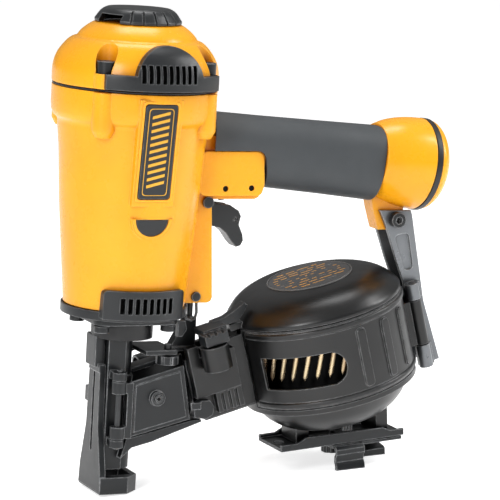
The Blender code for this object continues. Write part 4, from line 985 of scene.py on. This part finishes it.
def make_contact_trip():
    """Foot, front plate, side strap, upper arm and push rod in one piece."""
    foot = plate(foot_outline(0), -9.5, 0, FLAT)
    cut(foot, box((-11.1, -9.8, -1), (6.4, 9.8, 12)))
    front = loft([[(x, y * half, z) for x, y in ((-14.9, -1), (-14.9, 1), (-11.3, 1),
                                                 (-11.3, -1))] for half, z in ((FOOT_HALF, 1),
                                                                               (14.4, 12.5),
                                                                               (8.4, 36),
                                                                               (7.4, 70))])
    head = box((-17.2, -5.2, 69), (-11.3, 8.8, 86.6), bevel=0.8)
    ledge = box((-15.4, -7.4, 66.5), (-11.3, 7.4, 71))
    tab = box((-14.6, 5.5, 47.5), (-11.6, 13, 56))
    strap = plate([(-9, 4), (2, 4), (2, 70), (14, 75), (14, 79), (-3, 79), (-9, 70)], 11.4, 13.6)
    arm = box((9.5, -13.6, 76.4), (28, 13.6, 79.2), bevel=0.5)
    tail = box((20, -4.5, 76.5), (43.5, 4.5, 79.1), bevel=0.5)
    bracket = plate([(27, 77), (43, 77), (43, 95), (37, 95)], -3.2, 3.2)
    fuse(foot, front, head, ledge, tab, strap, arm, tail, bracket)
    cut(foot, box((-18, -1.3, 22), (-10, 1.3, 66)))
    fuse(foot, rod((ROD_X, 0, 90), 1.6, 59.2, sides=12))
    fuse(foot, rod((ROD_X, 0, 104.8), 3.9, 2, sides=16))
    drill(foot, [WHEEL_XY], 60, 2.3, 30, 12)
    part("contact_trip", foot, "black_metal")
    spring = coil((ROD_X, 0, 107.6), 3.1, 0.45, 28.4, 6)
    part("trip_spring", spring, "steel")
    make_depth_wheel()


def make_depth_wheel():
    """Knurled wheel on a threaded stud under the trip's upper arm."""
    wheel = rod((*WHEEL_XY, 70.8), 6.4, 4.9, sides=24)
    for turn in turns(8, Matrix.Translation((*WHEEL_XY, 0))):
        cut(wheel, box((5.8, -0.6, 69), (8, 0.6, 77), turn))
    fuse(wheel, rod((*WHEEL_XY, 73), 1.95, 9, sides=12))
    part("depth_wheel", wheel, "black_metal")


def make_door():
    x, y = DOOR_HINGE
    door = plate([(0.3, 31.6), (36.6, 40.6), (31.2, 71), (0.3, 62.6)], -16, -14.8)
    face = plate([(3, 34.6), (34, 42.4), (29, 67.8), (3, 60.8)], -17, -15.2)
    arms = box((x, -17.6, 31.4), (1.5, -14, 62.4))
    fuse(door, face, arms)
    for low, high in ((31.3, 38.2), (56.5, 63.4)):
        fuse(door, rod((x, y, low), 4, high - low, sides=14))
    cut(door, box((x - 5, -21, 38.2), (x + 4.6, -11, 56.5)))
    cut(door, rod((x, y, 20), 1.9, 60, sides=12))
    fuse(door, cross_rod(*DOOR_SCREW_XZ, -19.6, -15.5, 4.2, 16))
    cut(door, cross_rod(*DOOR_SCREW_XZ, -25, -16.2, 2.6, 12))
    part("feed_door", door, "black_metal")
    pin = rod((x, y, 25.6), 1.6, 44, sides=12)
    part("door_hinge_pin", pin, "black_metal")
    screw = cross_rod(*DOOR_SCREW_XZ, -20.4, -16.5, 2.3, 12)
    cut(screw, cross_rod(*DOOR_SCREW_XZ, -22, -18.4, 1.2, 6))
    part("door_screw", screw, "black_metal")


def make_door_latch():
    """Spring paddle behind the door that holds it shut."""
    px, pz = LATCH_PIVOT
    outline = [(38.2, 48.2), (42.6, 51), (47.6, 51.2), (50.6, 47.6), (50, 42.8), (46, 40.6),
               (38.9, 41.4)]
    paddle = plate(outline, -17.2, -12)
    tip = plate([(35.5, 50.4), (40, 50), (40, 46.4), (36.3, 46.2)], -18.4, -17.4)
    fuse(paddle, plate([(38.2, 50.2), (42, 50.4), (42, 46.4), (38.2, 46.4)], -18.4, -17))
    fuse(paddle, tip)
    fuse(paddle, cross_rod(px, pz, -12.5, -7.8, 1.5, 12))
    part("door_latch", paddle, "black_metal")


def make_feed():
    """Air cylinder on the far side whose pawl advances the nails to the drive axis."""
    axis = FEED @ Matrix.Translation((0, FEED_Y, 9)) @ ALONG_X
    barrel = lathe([(0, 44), (6.2, 44), (7.2, 43), (7.2, 22.6), (5.8, 22.6), (5.8, 42), (0, 42)],
                   20, axis)
    cut(barrel, rod((0, 0, 40), 1.2, 6, axis, 8))
    foot = box((23, 13.3, 4), (40, 16.2, 12.6), FEED)
    cut(foot, rod((0, 0, 10), 6.6, 40, axis, 20))
    fuse(barrel, foot)
    part("feed_cylinder", barrel, "black_metal")
    piston = rod((0, 0, 26), 5.5, 3.4, axis, 20)
    fuse(piston, rod((0, 0, 12.5), 2.2, 14, axis, 12))
    block = box((9, 17.4, 3.2), (14, 23.2, 12), FEED, bevel=0.6)
    fuse(piston, block)
    cut(piston, rod((11.5, 20, 0), 1.45, 20, FEED, 10))
    part("feed_piston", piston, "steel")
    spring = coil((0, 0, 38.2), 4.3, 0.5, 3.2, 2.5, axis)
    part("feed_spring", spring, "steel")
    pawl = box((9.2, 3.4, -1.6), (13.6, 22.2, 2.7), FEED, bevel=0.5)
    fuse(pawl, rod((11.5, 20, 1), 1.15, 9.5, FEED, 10))
    part("feed_pawl", pawl, "steel")


# --- magazine ------------------------------------------------------------------

def sector(low_deg, high_deg, radius, low, high, steps=36):
    """A wedge of the magazine's round, used to keep one stretch of its wall."""
    points = [(0, 0)] + arc((0, 0), radius, low_deg, high_deg, steps)
    return plate(points, -high, -low, MAG @ FLAT)


def make_canister_body():
    """Bowl, far wall, nail throat and the brackets that hold them."""
    cup = lathe([(0, -66.2), (30, -66.2), (40, -58.5), (44.5, -51), (CAN_R, -49.8), (CAN_R, -GAP),
                 (CAN_R - CAN_WALL, -GAP), (CAN_R - CAN_WALL, -48.4), (42.8, -50), (38.6, -57.2),
                 (29.3, -64.2), (0, -64.2)], 32, MAG)
    cut(cup, sector(-173, -9, 70, -46.6, 5))
    cut(cup, box((-52, -5.6, -42), (-44, 5.6, 2), MAG))
    for low, end in ((5.6, -46.9), (-8.3, -49.9)):
        fuse(cup, box((-80.8, low, -43), (end, low + 2.7, -2), MAG))
    fuse(cup, box((-80.8, -7, -44), (-46.9, 7, -41.6), MAG))
    ear = box((-85.4, -13.4, -28.6), (-58, -7.8, -6), MAG)
    tab = box((-85.4, -13.4, -12), (-79, -7.8, 1), MAG)
    fins = box((-74, -12.6, -40.4), (-58, -7.8, -28), MAG)
    barrel = rod((*LATCH_UV, -13), 8, 14, MAG, 20)
    fuse(cup, ear, tab, fins, barrel)
    for k in range(3):
        u = -71.4 + 4.2 * k
        cut(cup, box((u, -15, -42), (u + 1.8, -10.8, -29.6), MAG))
    cut(cup, rod((*LATCH_UV, -7), 2.2, 12, MAG, 12))
    hold = box((46.6, 9.4, -40), (60, 12.6, -12), MAG)
    front_foot = box((12, -9.5, 2.3), (20, 9.5, 22), RAIL)
    rear_foot = box((62.5, -9.5, 2.3), (70, 9.5, 23), RAIL)
    fuse(cup, hold, front_foot, rear_foot)
    cut(cup, rod((0, 0, -70), 5.6, 10, MAG, 20))
    part("canister_body", cup, "black_gloss")


def window_cutter():
    """A slot through the wall whose rear end is round."""
    low, high = WINDOW_DEG
    cutter = sector(low, high - 6, 60, *WINDOW_W)
    middle = math.radians(high - 9)
    half = (WINDOW_W[1] - WINDOW_W[0]) / 2
    centre = (math.cos(middle) * 49, math.sin(middle) * 49, sum(WINDOW_W) / 2)
    outward = Matrix.Rotation(middle, 4, "Z") @ ALONG_X
    round_end = rod((0, 0, -12), half, 24, MAG @ Matrix.Translation(centre) @ outward)
    return fuse(cutter, round_end)


def make_canister_cover():
    wall = ring(CAN_R - CAN_WALL, CAN_R, -46.2, -GAP, 32, MAG)
    common(wall, sector(-171.5, -11, 60, -60, 10, 60))
    cut(wall, window_cutter())
    pill = rounded([(-2.9, RIB_W[0]), (2.9, RIB_W[0]), (2.9, RIB_W[1]), (-2.9, RIB_W[1])], 2.9)
    for degrees in RIB_DEG:
        fuse(wall, plate(pill, -50.75, -48.3, turned(degrees + 90, MAG), edge=0.6))
    for low, high in ((-5.4, -1.2), (-45.6, -41.8)):
        band = lathe([(49.2, low), (50.5, low + 0.9), (50.5, high - 0.9), (49.2, high)], 48, MAG)
        fuse(wall, common(band, sector(-168, -20, 60, -60, 10, 90)))
    u, v = HINGE_UV
    barrel = rod((u, v, -40), 3.8, 26.4, MAG, 16)
    leaf = box((46.4, v - 1.2, -39.8), (u, v + 1.6, -13.8), MAG)
    fuse(wall, barrel, leaf)
    cut(wall, rod((u, v, -60), 1.95, 70, MAG, 12))
    cut(wall, rod((0, 0, -47.5), CAN_R - CAN_WALL - 0.05, 60, MAG, 32))
    part("canister_cover", wall, "black_gloss")
    pin = rod((u, v, -53.6), 1.6, 50.4, MAG, 12)
    part("cover_hinge_pin", pin, "black_metal")


def make_canister_lid():
    """Dome on top of the cover, with a tab that the latch hooks."""
    outer = [(0, 15.2), (26.6, 14.6), (36, 12.8), (43.5, 9), (48, 4.6), (49.7, 2.2), (49.7, GAP)]
    inner = [(47.9, GAP), (47.9, 1.8), (42.2, 7.6), (35.3, 11), (0, 13.4)]
    lid = lathe(outer + inner, 32, MAG)
    tab = box((-56, -8, 1), (-47.9, 2, 5), MAG, bevel=0.6)
    fuse(lid, tab)
    part("canister_lid", lid, "black_gloss")


def make_cover_latch():
    """Ribbed thumb lever on top of the barrel; its hook holds the lid's tab."""
    u, v = LATCH_UV
    lever = box((-78.4, -25.4, 1.4), (-64, -14.6, 8.4), MAG, bevel=1.2)
    arm = box((-76, -19, 5.6), (-62, -5, 9.6), MAG)
    hook = plate([(-66, 5.9), (-50.5, 5.9), (-46, 9.9), (-43, 13), (-44.8, 15.2), (-51, 12.6),
                  (-58, 10.4), (-66, 10)], -9, -3.5, MAG)
    fuse(lever, arm, hook)
    for k in range(3):
        x = -76.4 + 4.2 * k
        cut(lever, box((x, -27, 7.2), (x + 1.7, -19.6, 12), MAG))
    fuse(lever, rod((u, v, -6), 1.9, 9, MAG, 12))
    part("cover_latch", lever, "black_plastic")


def ear_outline():
    """Side view of one arm ear, in the magazine's own axes."""
    return [(47.2, 41.6), (66.3, 36), (66.5, 33.2), (63.4, -17), (66.4, -53.6), (53.4, -54),
            (53.6, -20), (53.4, -4), (51.4, 10), (49.6, 28)]


def make_arm():
    """Rear arm: two ears, the web between them and the cover's hinge knuckles."""
    arm = plate(ear_outline(), -8.4, -6, MAG)
    far = plate(ear_outline(), 6, 8.4, MAG)
    web = plate([(59.6, 16), (65.2, 16), (63.6, -8), (63.2, -17), (66.2, -53.4), (60, -53.4),
                 (58.8, -18)], -7.6, 7.6, MAG)
    fuse(arm, far, web)
    u, v = HINGE_UV
    for low, high in ((-13.2, -3.8), (-53.8, -40.4)):
        fuse(arm, rod((u, v, low), 4, high - low, MAG, 12))
        fuse(arm, box((u - 2, v, low + 0.2), (u + 5.6, -7, high - 0.2), MAG))
    panel = rounded([(52.8, 25), (62, 24), (60.6, 3), (55.2, 3)], 3)
    cut(arm, plate(panel, -12, -7.2, MAG))
    cut(arm, rod((u, v, -56), 1.95, 60, MAG, 12))
    cut(arm, cross_rod(*ARM_SCREW_UW, -12, 12, 2.9, 16, MAG))
    part("magazine_arm", arm, "black_metal", finish="arm_metal")
    screw = cross_rod(*ARM_SCREW_UW, -12.8, -8.7, 4.4, 16, MAG)
    fuse(screw, cross_rod(*ARM_SCREW_UW, -9, 8.4, 2.4, 12, MAG))
    cut(screw, cross_rod(*ARM_SCREW_UW, -15, -10.4, 2.1, 6, MAG))
    part("arm_screw", screw, "black_metal")


def make_rail():
    """Channel under the magazine that the shingle guide slides along."""
    length, half = RAIL_LENGTH, RAIL_HALF
    rail = box((0, -half, 0), (length, half, 2), RAIL)
    side = [(0, 0.2), (length, 0.2), (length, 3.8), (69, 3.8), (64, 6), (16, 6.6), (10, 3.8),
            (0, 3.8)]
    fuse(rail, plate(side, -half, -half + 2, RAIL), plate(side, half - 2, half, RAIL))
    cut(rail, rod((5.2, 0, -2), 3, 6, RAIL, 20))
    cut(rail, plate(rounded([(22, -3.1), (60, -3.1), (60, 3.1), (22, 3.1)], 3), -4, 2.5, RAIL
                    @ FLAT))
    part("base_rail", rail, "black_metal")


def make_shingle_guide():
    """Sliding plate with two bent hooks; the tool stands on them."""
    slide = box((32, -15, -2.3), (76, 15, -GAP), RAIL)
    near = [(-14, -0.5), (-16.4, -0.8), (-18, -2.8), (-18, -5.6), (-16.4, -7.6), (-16, -10.2),
            (-17.4, -12), (-18.2, -19), (-14.8, -19), (-15.2, -12.6), (-14.2, -10.2),
            (-14.6, -6.8), (-16.2, -4.8), (-16.2, -3.4), (-14, -2.2)]
    fuse(slide, plate(near, -51, -33, RAIL @ SIDEWAYS))
    far = [(14, -0.5), (16.2, -2.6), (16.2, -8.6), (15, -12.2), (9.6, -13), (9, -19), (4.8, -19),
           (5, -12), (6.6, -11), (13.4, -10.2), (14.4, -8.2), (14.4, -4), (13, -2.2)]
    fuse(slide, plate(far, -75.5, -59, RAIL @ SIDEWAYS))
    cut(slide, box((-5, -40, -30), (220, 40, 0), leaned((9.6, 0, 0), -LEAN_DEG)))
    cut(slide, rod((KNOB_U, 0, -5), 2.6, 8, RAIL, 14))
    part("shingle_guide", slide, "black_metal")
    knob = rod((KNOB_U, 0, -7.6), 6.4, 5, RAIL, 20)
    for turn in turns(8, RAIL @ Matrix.Translation((KNOB_U, 0, 0))):
        cut(knob, rod((7.2, 0, -10), 1.6, 9, turn, 8))
    fuse(knob, rod((KNOB_U, 0, -4), 2.1, 9, RAIL, 12))
    part("guide_lock_knob", knob, "black_metal")


# --- pieces that the frame holds only in outline -------------------------------

def make_gasket():
    gasket = ring(34.2, 44.7, BODY_TOP + GAP, CAP_BASE - GAP)
    part("cap_gasket", gasket, "rubber")


def make_nails():
    """Coil of collated nails: leaning shanks with heads, points and two wires."""
    floor = -41
    lean = Matrix.Rotation(math.radians(-20), 4, "X")
    shapes = []
    count, radius = 36, 41.2
    shank = [(0, 11), (2.6, 11), (2.6, 10.3), (1.3, 9.8), (1.3, -8.8), (0, -11.8)]
    for k in range(count):
        turn = Matrix.Rotation(2 * math.pi * (k + 0.3) / count, 4, "Z")
        frame = MAG @ turn @ Matrix.Translation((radius, 0, -21.7)) @ lean
        shapes.append(lathe(shank, 10, frame, smooth=False))
    for height in (-13.2, -14.4):
        circle = arc((0, 0), radius - 1.3, 0, 352, 90)
        shapes.append(tube([(x, y, height) for x, y in circle], 0.35, MAG, True))
    part("nail_coil", loose(*shapes), "brass_nails")
    # painted shade: a near-black ring inside the coil, where the drum is in shadow
    core = ring(11, 33, floor + 0.5, -11, 24, MAG)
    show("nail_core_shade", core, "shade", "nails")


def make_platform():
    """Plate under the nails with its stem, and the dial under the drum."""
    platform = rod((0, 0, -43.6), 40.8, 2.2, MAG, 30)
    fuse(platform, rod((0, 0, -53.9), 4.9, 42.4, MAG, 16))
    part("nail_platform", platform, "black_plastic")
    dial = rod((0, 0, -70.6), 18.5, 4, MAG, 30)
    for turn in turns(8, MAG):
        cut(dial, rod((19.6, 0, -75), 2.2, 10, turn, 8))
    part("platform_dial", dial, "black_plastic")


def make_extras():
    """Small fixed things that the frame leaves out."""
    pin = cross_rod(37.3, 108.6, -13.9, 13.9, 2.7)
    show("web_pin", pin, "black_metal", "body")
    loop = [(35, -5.6, 105.5), (34.6, -6, 98), (35.6, -6, 95), (38.2, -6, 94), (40.6, -6, 95.4),
            (41.4, -6, 98.6), (41, -5.6, 105.5)]
    show("wire_loop", tube(loop, 0.8), "black_metal", "body")
    # painted shade: near-black discs inside the cheek pin holes, so the holes read dark
    pin_hole_shades = [cross_rod(x, z, side - 0.45, side + 0.45, 1.5, 12) for x, z in CHEEK_PINS
             for side in (-14.6, 14.6)]
    show("cheek_hole_shade", loose(*pin_hole_shades), "shade", "body")
    make_label_marks()
    make_rims()
    make_nose_extras()
    make_lid_label()


def frame_line(outline, inner, low, high, frame):
    """A flat frame between two outlines."""
    return cut(plate(outline, low, high, frame), plate(inner, low - 2, high + 2, frame))


def make_label_marks():
    """Thin frame and plain slanted bars on each label plate; no lettering."""
    marks = [frame_line(label_outline(-1.9), label_outline(-2.35), -0.7, 0, SIDE_PAD)]
    for k in range(11):
        z = LABEL_BOTTOM + 6 + 3.75 * k
        bar = [(-5, z), (5, z + 2.6), (5, z + 4.3), (-5, z + 1.7)]
        marks.append(plate(bar, -0.7, 0, SIDE_PAD, edge=0.04))
    left = loose(*marks)
    right = other_side(left)
    show("label_marks_left", left, "yellow_ink", "body")
    show("label_marks_right", right, "yellow_ink", "body")


def make_rims():
    """Raised yellow rims round the half-moon and the label."""
    moon = frame_line(half_moon(MOON_R + 2), half_moon(MOON_R + 0.5), -0.75, 0.4, moon_frame()
                      @ Matrix.Translation((0, 0, 0.5)))
    label = frame_line(label_outline(1.7), label_outline(0.45), -0.45, 0.5, SIDE_PAD)
    rims = loose(moon, label)
    right = other_side(rims)
    show("side_rims_left", rims, "yellow", "body")
    show("side_rims_right", right, "yellow", "body")


def make_nose_extras():
    """Neck ring, side bracket and far strap of the nose, and a ribbed tab by the bowl."""
    neck = ring(6.6, 17, 85.4, 94.7, 30)
    show("neck_ring", neck, "rubber", "body")
    bracket = plate([(28.6, 94.8), (33, 94.8), (34.2, 90), (31.5, 86), (28.6, 86)], -11, -7.4)
    show("side_bracket", bracket, "black_metal", "body")
    strap = box((-88, 8.4, -40), (-68, 9.4, -4), MAG)
    show("far_strap", strap, "black_metal", "body")
    tab = box((128.8, -20.6, 31.5), (135.2, -16, 45))
    for k in range(3):
        cut(tab, box((129.8 + 1.8 * k, -22, 30), (130.7 + 1.8 * k, -19.9, 44)))
    show("bowl_tab", tab, "black_plastic", "body")


def make_lid_label():
    """Round label on the lid with plain rows of dashes in place of print."""
    centre = MAG @ Matrix.Translation((0.4, 0, 0))
    label = lathe([(0, 16), (23.6, 15.4), (23.6, 14.2), (0, 14.2)], 32, centre)
    show("lid_label", label, "lid_label", "cover")
    rim = lathe([(24.4, 15.5), (24.4, 14.2), (23.7, 14.2), (23.7, 15.55)], 32, centre)
    show("lid_label_rim", rim, "pale_ink", "cover")
    ink = {"orange_ink": [], "pale_ink": []}
    for row in range(9):
        v = -16 + 4 * row
        reach = math.sqrt(20.5 ** 2 - v ** 2)
        u, step = -reach, 0
        while u < reach - 3:
            length = (5.5, 3, 7.5, 4.2, 6)[(step * 2 + row) % 5]
            end = min(u + length, reach)
            slot = "pale_ink" if (row * 3 + step) % 7 == 2 else "orange_ink"
            top = 16.05 - 0.6 * max(abs(u), abs(end), abs(v)) / 23.6
            ink[slot].append(box((u, v - 0.55, top - 1), (end, v + 0.55, top), centre, 0.05))
            u, step = end + 1.6, step + 1
    for slot, bars in ink.items():
        show("lid_" + slot, loose(*bars), slot, "cover")


# --- stage, light and camera -----------------------------------------------------

def make_stage():
    """A pale floor that glows a little, so that it stays near white."""
    bm = bmesh.new()
    bmesh.ops.create_grid(bm, x_segments=4, y_segments=4, size=7.0)
    mesh = bpy.data.meshes.new("floor")
    bm.to_mesh(mesh)
    bm.free()
    floor = bpy.data.objects.new("floor", mesh)
    bpy.context.scene.collection.objects.link(floor)
    made = bpy.data.materials.new("pale_floor")
    made.use_nodes = True
    nodes, link = made.node_tree.nodes, made.node_tree.links.new
    shader = nodes["Principled BSDF"]
    noise = nodes.new("ShaderNodeTexNoise")
    noise.inputs["Scale"].default_value = 3.0
    spread = nodes.new("ShaderNodeMix")
    spread.data_type = "RGBA"
    spread.inputs["A"].default_value = (0.90, 0.90, 0.90, 1.0)
    spread.inputs["B"].default_value = (0.88, 0.88, 0.88, 1.0)
    link(noise.outputs["Fac"], spread.inputs["Factor"])
    link(spread.outputs["Result"], shader.inputs["Base Color"])
    shader.inputs["Roughness"].default_value = 0.7
    shader.inputs["Emission Color"].default_value = (1.0, 1.0, 1.0, 1.0)
    shader.inputs["Emission Strength"].default_value = 0.66
    mesh.materials.append(made)


def make_sky():
    """Soft surround: bright overhead, dimmer towards the horizon."""
    world = bpy.data.worlds.new("studio")
    bpy.context.scene.world = world
    world.use_nodes = True
    nodes, link = world.node_tree.nodes, world.node_tree.links.new
    place = nodes.new("ShaderNodeTexCoord")
    split = nodes.new("ShaderNodeSeparateXYZ")
    height = nodes.new("ShaderNodeMapRange")
    link(place.outputs["Generated"], split.inputs["Vector"])
    link(split.outputs["Z"], height.inputs["Value"])
    for socket, value in zip(("From Min", "From Max", "To Min", "To Max"), (0.0, 0.8, 0.12, 0.46)):
        height.inputs[socket].default_value = value
    link(height.outputs["Result"], nodes["Background"].inputs["Strength"])
    nodes["Background"].inputs["Color"].default_value = (1.0, 1.0, 1.0, 1.0)


def make_light(name, place, aim, size, energy):
    data = bpy.data.lights.new(name, "AREA")
    data.shape = "RECTANGLE"
    data.size, data.size_y = size
    data.energy = energy
    lamp = bpy.data.objects.new(name, data)
    bpy.context.scene.collection.objects.link(lamp)
    lamp.location = place
    lamp.rotation_euler = (Vector(aim) - Vector(place)).to_track_quat("-Z", "Y").to_euler()


def make_lights():
    make_light("key", (-0.95, -0.75, 0.75), (0.0, 0.0, 0.14), (0.26, 0.8), 10.5)
    make_light("side", (0.9, -0.35, 0.75), (0.0, 0.0, 0.12), (0.20, 0.8), 8.0)
    make_light("top", (0.1, 0.25, 1.2), (0.0, 0.0, 0.14), (0.6, 0.4), 5.5)


def make_camera():
    """The photograph's view: seen from the tool's left front, a little above."""
    right = Vector((0.9059689, -0.4192166, 0.0589722))
    up = Vector((0.0115387, 0.1637014, 0.9864425))
    back = Vector((-0.4231869, -0.8930058, 0.1531456))
    place = Matrix((right, up, back)).transposed().to_4x4()
    place.translation = Vector((-0.60708056, -1.43839495, 0.37860664))
    data = bpy.data.cameras.new("camera")
    data.sensor_width = 36.0
    data.lens = 208.73
    data.clip_start = 0.05
    camera = bpy.data.objects.new("camera", data)
    bpy.context.scene.collection.objects.link(camera)
    camera.matrix_world = ROOT_AXES @ place
    bpy.context.scene.camera = camera


for make in (make_cap, make_cap_screws, make_gasket, make_deflector, make_upper_guard,
             make_lower_guard, make_side_badges, make_housing, make_grip, make_handle_end,
             make_trigger, make_trigger_valve, make_nosepiece, make_base_screws,
             make_contact_trip, make_door, make_door_latch, make_feed, make_canister_body,
             make_canister_cover, make_canister_lid, make_cover_latch, make_nails, make_platform,
             make_arm, make_rail, make_shingle_guide, make_extras):
    make()
for node, obj in frame["nodes"].items():
    if not obj.hide_render:
        slot = next(e["material_slot"] for e in frame["record"]["subparts"] if e["node"] == node)
        obj.data.materials.clear()
        obj.data.materials.append(material(slot))
make_stage()
make_sky()
make_lights()
make_camera()
bpy.context.scene.view_settings.view_transform = "Standard"
